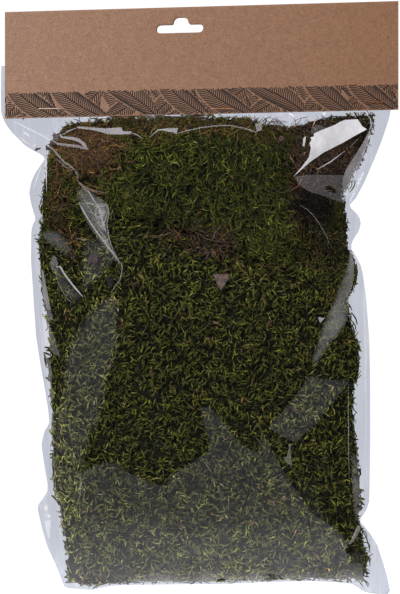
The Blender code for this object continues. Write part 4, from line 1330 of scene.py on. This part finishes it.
def growTangle(name, details, mossTop, grids, material, rng):
    count, areas, rings = details["count"], np.array(details["areas"], float), len(stemBody)
    which = rng.integers(0, len(areas), count)
    pixels = areas[which, 0] + areas[which, 1] * np.clip(rng.normal(0, 0.55, (count, 2)), -1.3, 1.3)
    x, z = fromPhoto((pixels[:, 0], pixels[:, 1]), bag["standOff"])
    x, z = wander(x, z, details["length"], 0.42, rings, rng)
    depth = rng.uniform(*details["depth"], count)[:, None]
    depth = depth + np.cumsum(rng.normal(0, 0.22, (count, rings)), axis=1)
    surface = np.maximum(readGrid(mossTop, x, z), details.get("least", 0.0))
    room = readGrid(grids[-1], x, z)
    kept = (surface > 2.0).all(axis=1) & (room > 0.8).all(axis=1)
    paths = np.stack([x, -(surface + np.minimum(depth, 1.5)), z], axis=-1)[kept]
    radii = rng.uniform(*details["radius"], count)[kept][:, None] * np.array(stemBody)
    colours = shadesAt(paths[:, 0], details["mix"], "loose", rng)
    return addShoots(name, paths, radii, colours, np.ones(rings), grids, material)


# Crumbs of dead leaf and stem that lie on the shoots.
crumbs = {
    "across": (-85, 118), "down": (-358, -64),
    "count": 360, "length": (1.2, 3.6), "radius": (0.26, 0.56), "depth": (0.2, 1.5),
    "mix": (("rust", 0.34), ("pinkTan", 0.16), ("straw", 0.14), ("ochre", 0.18), ("brown", 0.18)),
}


def scatterCrumbs(mossTop, grids, material, rng):
    count, rings = crumbs["count"], len(crumbBody)
    x = rng.uniform(*crumbs["across"], count)
    z = rng.uniform(*crumbs["down"], count)
    x, z = wander(x, z, crumbs["length"], 0.35, rings, rng)
    surface = readGrid(mossTop, x, z)
    kept = (surface > 4.0).all(axis=1)
    depth = rng.uniform(*crumbs["depth"], count)[:, None]
    paths = np.stack([x, -(surface + depth), z], axis=-1)[kept]
    radii = rng.uniform(*crumbs["radius"], len(paths))[:, None] * np.array(crumbBody)
    colours = shadesAt(paths[:, 0], crumbs["mix"], "loose", rng)
    return addShoots("mossCrumbs", paths, radii, colours, np.ones(rings), grids, material)


bitBody = (0.5, 0.9, 1.0, 1.0, 0.85, 0.45)

# Single bits that stand out: path in photo pixels, thickness at its middle in pixels, shade and lightness.
bitPixels = [
    ([(170, 164), (173, 162), (177, 163), (180, 166)], 2.6, "straw", 1.5),
    ([(146, 186), (143, 190), (141, 196), (140, 201)], 1.0, "straw", 1.2),
    ([(141, 196), (145, 193), (149, 192)], 0.8, "straw", 1.1),
    ([(131, 172), (134, 173), (136, 176)], 1.8, "rust", 1.1),
    ([(190, 198), (193, 204), (196, 199), (198, 196)], 1.4, "straw", 1.4),
    ([(174, 229), (178, 234), (182, 240)], 1.6, "rust", 1.2),
    ([(239, 267), (245, 272), (251, 281)], 1.9, "ochre", 1.0),
    ([(230, 283), (238, 281), (244, 277), (254, 281)], 1.2, "straw", 1.0),
    ([(190, 229), (196, 232), (204, 238), (214, 241), (224, 242), (234, 242)], 1.2, "pinkTan", 0.8),
    ([(213, 222), (216, 230), (222, 236), (228, 232)], 1.1, "pinkTan", 0.7),
    ([(222, 241), (226, 246), (230, 253)], 1.0, "pinkTan", 0.6),
    ([(175, 239), (179, 233), (182, 229)], 2.0, "rust", 0.8),
    ([(130, 286), (136, 283), (143, 279)], 1.1, "ochre", 0.9),
    ([(213, 275), (220, 274.4), (229, 275.4)], 1.3, "pinkTan", 1.0),
    ([(274, 266), (281, 270), (286, 272)], 1.5, "brown", 1.5),
    ([(262, 262), (270, 266), (276, 272)], 1.0, "rust", 1.0),
    ([(186, 300), (180, 309), (174, 318), (171, 323)], 1.2, "straw", 0.9),
    ([(186, 303), (190, 312), (197, 318), (206, 320)], 1.0, "straw", 0.7),
    ([(120, 318), (123, 324), (124, 329)], 1.6, "rust", 0.9),
    ([(213, 321), (216, 323), (219, 324)], 3.0, "pinkTan", 1.0),
    ([(208, 337), (209, 341)], 2.2, "pinkTan", 0.9),
    ([(183, 342), (185, 345)], 2.2, "rust", 1.4),
    ([(150, 370), (152, 373)], 2.2, "pinkTan", 0.8),
    ([(156, 387), (155, 392), (152, 397)], 1.4, "rust", 1.1),
    ([(203, 389), (202, 395), (200, 398)], 1.5, "rust", 1.1),
    ([(253, 378), (252, 383), (250, 386)], 1.6, "rust", 1.1),
    ([(205, 462), (209, 468), (212, 474)], 2.0, "pinkTan", 1.1),
    ([(214, 468), (216, 473)], 1.8, "pinkTan", 1.0),
    ([(151, 480), (156, 478), (163, 479)], 1.6, "straw", 1.5),
    ([(77, 180), (82, 186), (90, 190), (97, 192)], 2.4, "pinkTan", 1.7),
    ([(80, 182), (86, 188), (95, 191), (106, 193)], 1.7, "pinkTan", 1.4),
    ([(82, 185), (90, 191), (101, 194)], 1.4, "pinkTan", 1.2),
    ([(84, 181), (92, 186), (104, 189)], 1.2, "rust", 1.2),
    ([(87, 189), (96, 193), (108, 195)], 1.2, "rust", 1.1),
    ([(65, 123), (68, 124), (71, 127)], 1.3, "green", 1.6),
    ([(66, 121.5), (69, 123), (74, 123)], 1.1, "bright", 1.3),
    ([(346, 190), (350, 184), (351, 178), (348, 174)], 1.4, "green", 1.6),
    ([(350, 192), (355, 186), (356, 180)], 1.4, "bright", 1.1),
    ([(345, 182), (350, 176), (355, 172), (354, 168)], 1.3, "green", 1.5),
    ([(358, 532), (363, 531), (367, 534), (368, 539)], 1.3, "bright", 1.1),
    ([(360, 545), (366, 543), (371, 546), (370, 551)], 1.3, "green", 1.5),
    ([(360, 557), (367, 556), (372, 560), (370, 564)], 1.3, "bright", 1.1),
    ([(358, 570), (365, 569), (371, 572)], 1.3, "green", 1.6),
    ([(356, 583), (362, 580), (368, 583), (370, 587)], 1.3, "bright", 1.0),
    ([(352, 312), (356, 318), (358, 325)], 1.8, "olive", 0.9),
    ([(350, 318), (355, 324), (357, 331)], 1.6, "green", 1.0),
    ([(344, 300), (350, 305), (353, 311)], 1.6, "olive", 0.9),
    ([(362, 530), (366, 536), (369, 545), (371, 554)], 1.5, "olive", 0.9),
    ([(360, 548), (366, 553), (370, 560), (371, 568)], 1.5, "olive", 0.9),
    ([(362, 566), (366, 572), (371, 575)], 1.5, "olive", 0.8),
    ([(360, 577), (366, 583), (369, 588)], 1.4, "olive", 0.9),
    ([(354, 578), (360, 583), (364, 588)], 1.4, "olive", 0.8),
    ([(366, 125), (371, 121), (375, 118)], 1.8, "green", 0.9),
    ([(366, 119), (371, 117), (376, 114)], 1.5, "olive", 0.9),
    ([(39, 240), (44, 243), (49, 243)], 2.2, "olive", 0.8),
    ([(38, 243), (41, 249), (43, 256)], 1.8, "olive", 0.7),
]


def placeBits(mossTop, grids, material):
    rings = len(bitBody)
    paths, radii, colours = [], [], []
    for pixels, width, shade, light in bitPixels:
        spots = resamplePath(pixels, rings)
        x, z = fromPhoto((spots[:, 0], spots[:, 1]), bag["standOff"])
        paths.append(np.column_stack([x, -(readGrid(mossTop, x, z) + bag["bitsRise"]), z]))
        radii.append(width * view["mmPerPixel"] / 2 * np.array(bitBody))
        colours.append(np.array(shades[shade]) * light)
    paths, radii, colours = (np.array(rows) for rows in (paths, radii, colours))
    return addShoots("mossBits", paths, radii, colours, np.ones(rings), grids, material)


# Bits of dead leaf and bark: outline and midrib in photo pixels, colour, and how far their crinkles rise.
leaves = {
    "deadLeaf": {
        "node": "dead_leaf", "rib": ((213, 274), (221, 290)), "colour": (0.270, 0.172, 0.128), "crinkle": 0.5,
        "outline": [(213, 274), (216, 273.4), (220, 275), (225, 273.6), (230, 274), (229.4, 279), (226, 283),
                    (223, 288), (220.6, 291), (218.4, 287), (215.4, 281)],
    },
    "leafScrapUpper": {
        "node": "leaf_scrap_upper",
        "rib": ((89, 262), (99, 253)), "colour": (0.120, 0.066, 0.058), "crinkle": 0.9,
        "outline": [(88, 259), (90, 254), (93, 254.6), (95, 251.4), (98, 251), (99.5, 255), (97.4, 257),
                    (98.4, 261), (95, 264.6), (91.6, 262.6), (89, 264)],
    },
    "leafScrapLower": {
        "node": "leaf_scrap_lower",
        "rib": ((107, 286), (112, 277)), "colour": (0.052, 0.031, 0.030), "crinkle": 0.9,
        "outline": [(106, 280), (108.6, 276.4), (111, 278), (113, 276), (113.4, 281), (111.6, 283),
                    (112, 286.6), (108.4, 287), (107.6, 283.4)],
    },
    "barkUpper": {
        "rib": ((52, 137), (59, 137)), "colour": (0.230, 0.160, 0.125), "crinkle": 0.7,
        "outline": [(51.4, 134.6), (52.8, 133), (55, 133.6), (57, 132.6), (58.4, 133), (58, 136), (59.6, 139.4),
                    (58, 141.2), (55.4, 140.6), (52.8, 139.6), (52.6, 136.4)],
    },
    "barkLower": {
        "rib": ((46, 148), (55, 142)), "colour": (0.140, 0.096, 0.078), "crinkle": 0.7,
        "outline": [(47.4, 143.6), (49.6, 142.4), (49, 140.2), (51.2, 139.2), (53, 141), (56, 142.6),
                    (54.6, 144.4), (51.6, 144.6), (49.4, 145.4)],
    },
    "barkFoot": {
        "rib": ((45, 147), (51, 149)), "colour": (0.150, 0.100, 0.080), "crinkle": 0.6,
        "outline": [(45, 145.4), (47, 145), (49, 146.6), (51, 148), (50, 150), (47, 149.6), (45.2, 149.8)],
    },
    "barkCrumb": {
        "rib": ((34, 149), (40, 147.4)), "colour": (0.260, 0.180, 0.110), "crinkle": 0.2,
        "outline": [(33.6, 149.4), (35.6, 147), (38, 147.2), (40.4, 146.8), (39.6, 148.6), (37, 149.2),
                    (35.6, 150.2)],
    },
    "barkRight": {
        "rib": ((278, 138), (285, 138)), "colour": (0.200, 0.115, 0.085), "crinkle": 0.4,
        "outline": [(278, 138.4), (280.6, 135.2), (284, 135.4), (285.4, 138), (283, 140.6), (280, 141.6)],
    },
}
sheet = {
    "rimPoints": 40,
    "grid": 0.55,
    "ruffle": 2.6,         # the size of its lumps
    "thickness": 0.25,
    "veinStep": 1.1,
    "veinShade": 0.62,
    "uneven": 0.35,
}


def buildLeaf(name, details, mossTop, grids, material):
    # A thin crinkled sheet: its front and back share their edge.
    rim = np.array([fromPhoto(p, bag["standOff"]) for p in details["outline"]])
    border = sheet["rimPoints"]
    outline = [tuple(p) for p in resamplePath(np.vstack([rim, rim[:1]]), border + 1)[:-1]]
    (xLow, zLow), (xHigh, zHigh) = rim.min(axis=0), rim.max(axis=0)
    step = sheet["grid"]
    gx, gz = (g.ravel() for g in np.meshgrid(np.arange(xLow, xHigh, step), np.arange(zLow, zHigh, step)))
    keep = insideOutline(gx, gz, outline) & (insideDepth(gx, gz, outline) > 0.3)
    spots, faces = triangulate(outline + list(zip(gx[keep], gz[keep])), loopEdges(0, border))
    x, z = spots.T
    ruffle = unevenness(x, z, sheet["ruffle"], sheet["ruffle"], border + zLow)
    height = np.maximum(readGrid(mossTop, x, z), 0.2) + bag["bitsRise"] + details["crinkle"] * ruffle
    inner = np.arange(border, len(spots))
    rear = np.column_stack([x, sheet["thickness"] - height, z])[inner]
    points = underFilm(np.vstack([np.column_stack([x, -height, z]), rear]), grids)
    rearFaces = rearTwins(inner, len(spots))[faces][:, ::-1]
    item = addMesh(name, points, [np.vstack([faces, rearFaces])], material)
    (ax, az), (bx, bz) = (fromPhoto(p, bag["standOff"]) for p in details["rib"])
    size = math.hypot(bx - ax, bz - az)
    along = ((points[:, 0] - ax) * (bx - ax) + (points[:, 2] - az) * (bz - az)) / size
    across = np.abs((points[:, 0] - ax) * (bz - az) - (points[:, 2] - az) * (bx - ax)) / size
    veins = np.cos((along - across * 0.8) * math.pi / sheet["veinStep"]) > 0.86
    tone = np.where((across < 0.3) | veins, sheet["veinShade"], 1.0)
    tone = tone * (1 + sheet["uneven"] * np.append(ruffle, ruffle[inner]))
    colourPoints(item, tone[:, None] * np.array(details["colour"]))
    if "node" in details:
        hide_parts(details["node"])
    return item


beds = {"sunk": 3.9, "rough": 0.6, "lumps": 160.0, "middle": 0.9, "inner": 0.8, "rimIn": 2.4}


def buildBed(name, details, material):
    # The layer of old stems and soil that the shoots stand in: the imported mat, pulled in and roughened.
    mesh = nodes[details["node"]].data.copy()
    mesh.name = name + "Bed"
    shell = bmesh.new()
    shell.from_mesh(mesh)
    bmesh.ops.remove_doubles(shell, verts=shell.verts, dist=1e-5)
    bmesh.ops.subdivide_edges(shell, edges=shell.edges, cuts=1, use_grid_fill=True)
    shell.normal_update()
    moves = [(v, v.normal.copy(), noise.noise(v.co * beds["lumps"])) for v in shell.verts]
    settled = spreadMoss(np.array([v.co[:] for v in shell.verts]) / mm)
    inner = beds["inner"] * mm
    for (v, normal, bump), place in zip(moves, settled):
        v.co = Vector(place) * mm
        if abs(v.co.y) > beds["middle"] * mm:
            v.co -= normal * (beds["sunk"] + beds["rough"] * bump) * mm
            v.co.y = min(v.co.y, -inner) if "back" not in details["node"] else max(v.co.y, inner)
        else:
            v.co -= Vector((normal.x, 0.0, normal.z)) * beds["rimIn"] * mm
    shell.to_mesh(mesh)
    shell.free()
    return addPiece(mesh.name, mesh, material)


# ---- stage, lamps and camera

# Each lamp's place, size and radiance, what it points at and the rays that don't see it. The pale one and
# the dim one show in the film and light nothing else.
lamps = {
    "key": {"place": (-990.0, -1300.0, 960.0), "size": 1010.0, "radiance": 8.5},
    "top": {"place": (100.0, -300.0, 1500.0), "size": 1400.0, "radiance": 2.2, "unseen": "glossy",
            "target": (viewCentreX, -200.0, -400.0)},
    "fill": {"place": (1300.0, -1500.0, 250.0), "size": 1200.0, "radiance": 0.9, "unseen": "glossy"},
    "pale": {"place": (200.0, -900.0, 1900.0), "size": 900.0, "radiance": 1.1, "unseen": "diffuse"},
    "dim": {"place": (-900.0, -900.0, 1700.0), "size": 900.0, "radiance": 0.35, "unseen": "diffuse"},
}
studio = {
    "floorDrop": 22.0,
    "floorSize": 9000.0,
    "floorShade": 0.86,
    "floorLight": ((0.0, 0.12), (0.8, 0.85)),      # from in front of the pack to behind it
    "floorGlow": ((0.0, 0.45), (0.105, 0.80), (0.168, 0.82), (0.242, 0.91), (0.389, 1.0), (1.0, 1.04)),
    "paper": 1.04,
    "darkRoom": (0.022, 0.023, 0.026),
    "sheenHalfWidth": 320.0,       # of the pale card in front of the pack that shows in the film
    "sheenReach": 2000.0,
    "sheenRadiance": ((0.0, 0.95), (0.06, 0.56), (0.10, 0.30), (0.13, 0.21), (0.2, 0.18), (0.4, 0.18),
                      (1.0, 0.21)),        # from the pack outwards
    "sheenTint": (0.98, 1.0, 1.06),
}


def addLamp(name, details):
    size = details["size"] * mm
    data = bpy.data.lights.new(name + "Lamp", "AREA")
    data.shape = "SQUARE"
    data.size = size
    data.energy = details["radiance"] * math.pi * size ** 2
    lamp = addItem(name + "Lamp", data)
    lamp.location = Vector(details["place"]) * mm
    target = Vector(details.get("target", (viewCentreX, 0.0, viewCentreZ))) * mm
    lamp.rotation_euler = (target - lamp.location).to_track_quat("-Z", "Y").to_euler()
    hideFrom(lamp, "camera", *[details["unseen"]] if "unseen" in details else [])


def hideFrom(item, *rays):
    for ray in rays:
        setattr(item, "visible_" + ray, False)


def floorMaterial():
    # White paper that glows to the eye, so that it stays white behind the pack, and lights the pack less.
    material, made, links, shader = startMaterial("paleFloor")
    shader.inputs["Base Color"].default_value = (*[studio["floorShade"]] * 3, 1.0)
    shader.inputs["Roughness"].default_value = 0.9
    shader.inputs["Specular IOR Level"].default_value = 0.0
    shader.inputs["Emission Color"].default_value = (1.0, 1.0, 1.0, 1.0)
    rays = made.new("ShaderNodeLightPath")
    lit = addRamp(made, links, alongAxis(made, links, "Y", -0.5, 0.5), greys(studio["floorLight"]))
    seen = addRamp(made, links, alongAxis(made, links, "Y", -0.5, 9.0), greys(studio["floorGlow"]))
    for axis, start, end in (("X", 1.0, 2.0), ("X", -1.0, -2.0), ("Y", -0.8, -1.6)):
        seen = addMix(made, links, seen, (studio["paper"],) * 3, alongAxis(made, links, axis, start, end))
    links.new(addMix(made, links, lit, seen, rays.outputs["Is Camera Ray"]), shader.inputs["Emission Strength"])
    return material


def sheenMaterial():
    material, made, links, shader = startMaterial("sheenCard")
    made.remove(shader)
    light = made.new("ShaderNodeEmission")
    share = alongAxis(made, links, "Y", -0.02, -studio["sheenReach"] * mm)
    tint = studio["sheenTint"]
    stops = [(place, [radiance / 2 * part for part in tint]) for place, radiance in studio["sheenRadiance"]]
    links.new(addRamp(made, links, share, stops), light.inputs["Color"])
    light.inputs["Strength"].default_value = 2.0
    links.new(light.outputs[0], made["Material Output"].inputs["Surface"])
    return material


def addStagePlane(name, xs, ys, z, material):
    corners = [(xs[0], ys[0], z), (xs[1], ys[0], z), (xs[1], ys[1], z), (xs[0], ys[1], z)]
    mesh = bpy.data.meshes.new(name)
    mesh.from_pydata([Vector(c) * mm for c in corners], [], [(0, 1, 2, 3)])
    mesh.materials.append(material)
    plane = addItem(name, mesh)
    return plane


def buildStudio():
    for name, details in lamps.items():
        addLamp(name, details)
    wide = studio["floorSize"]
    z = cadBox[0].z / mm - studio["floorDrop"]
    hideFrom(addStagePlane("floor", (-wide, wide), (-wide, wide), z, floorMaterial()), "glossy")
    half = studio["sheenHalfWidth"]
    across = (viewCentreX - half, viewCentreX + half)
    sheen = addStagePlane("sheenCard", across, (-studio["sheenReach"], -20.0), z + 3.0, sheenMaterial())
    hideFrom(sheen, "camera", "diffuse", "transmission", "shadow")
    world = bpy.data.worlds.new("studio")
    bpy.context.scene.world = world
    world.use_nodes = True
    made, links = world.node_tree.nodes, world.node_tree.links
    room = made["Background"]
    room.inputs["Color"].default_value = (*studio["darkRoom"], 1.0)
    paper = made.new("ShaderNodeBackground")
    paper.inputs["Color"].default_value = (*[studio["paper"]] * 3, 1.0)
    rays = made.new("ShaderNodeLightPath")
    mix = made.new("ShaderNodeMixShader")
    links.new(rays.outputs["Is Camera Ray"], mix.inputs[0])
    links.new(room.outputs[0], mix.inputs[1])
    links.new(paper.outputs[0], mix.inputs[2])
    links.new(mix.outputs[0], made["World Output"].inputs["Surface"])
    bpy.context.scene.view_settings.view_transform = "Standard"
    bpy.context.scene.view_settings.look = "None"


def buildCamera():
    data = bpy.data.cameras.new("camera")
    data.sensor_width = view["sensor"]
    data.lens = view["sensor"] * view["cameraDistance"] / (view["height"] * view["mmPerPixel"])
    data.clip_end = 50.0
    camera = addItem("camera", data)
    camera.location = Vector((viewCentreX, -view["cameraDistance"], viewCentreZ)) * mm
    camera.rotation_euler = (math.radians(90), 0, 0)
    bpy.context.scene.camera = camera


# ---- everything together

def dressNode(name, material):
    node = nodes[name]
    node.data.materials.clear()
    node.data.materials.append(material)


buildCamera()
buildStudio()
dressNode("header_card", kraftMaterial())
buildBand()
copper = copperMaterial()
for staple in ("staple_left", "staple_middle", "staple_right"):
    dressNode(staple, copper)
print("header done")

filmItem = buildFilm()
filmTree = treeOf(filmItem)
filmLow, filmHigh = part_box("bag_film")
grids = {side: heightGrid(filmTree, side, filmLow, filmHigh) for side in (-1, 1)}
print("film done,", len(filmItem.data.polygons), "faces")

rng = np.random.default_rng(11)
shootMaterial = mottledMaterial("mossShoots")
bedMaterial = mottledMaterial("mossBed")
covers = {side: coverOfMats(side, filmLow, filmHigh) for side in (-1, 1)}
for matName, matDetails in mats.items():
    for matLayer in matDetails["layers"]:
        growLayer(matName, matDetails, matLayer, grids, covers, shootMaterial, rng)
    buildBed(matName, matDetails, bedMaterial)
mossTop = widened(covers[-1])
for tangleName, tangleDetails in tangles.items():
    growTangle(tangleName, tangleDetails, mossTop, grids, shootMaterial, rng)
scatterCrumbs(mossTop, grids, shootMaterial, rng)
placeBits(mossTop, grids, shootMaterial)
leafMaterial = mottledMaterial("dryLeaf")
for leafName, leafDetails in leaves.items():
    buildLeaf(leafName, leafDetails, mossTop, grids, leafMaterial)
print("moss done")
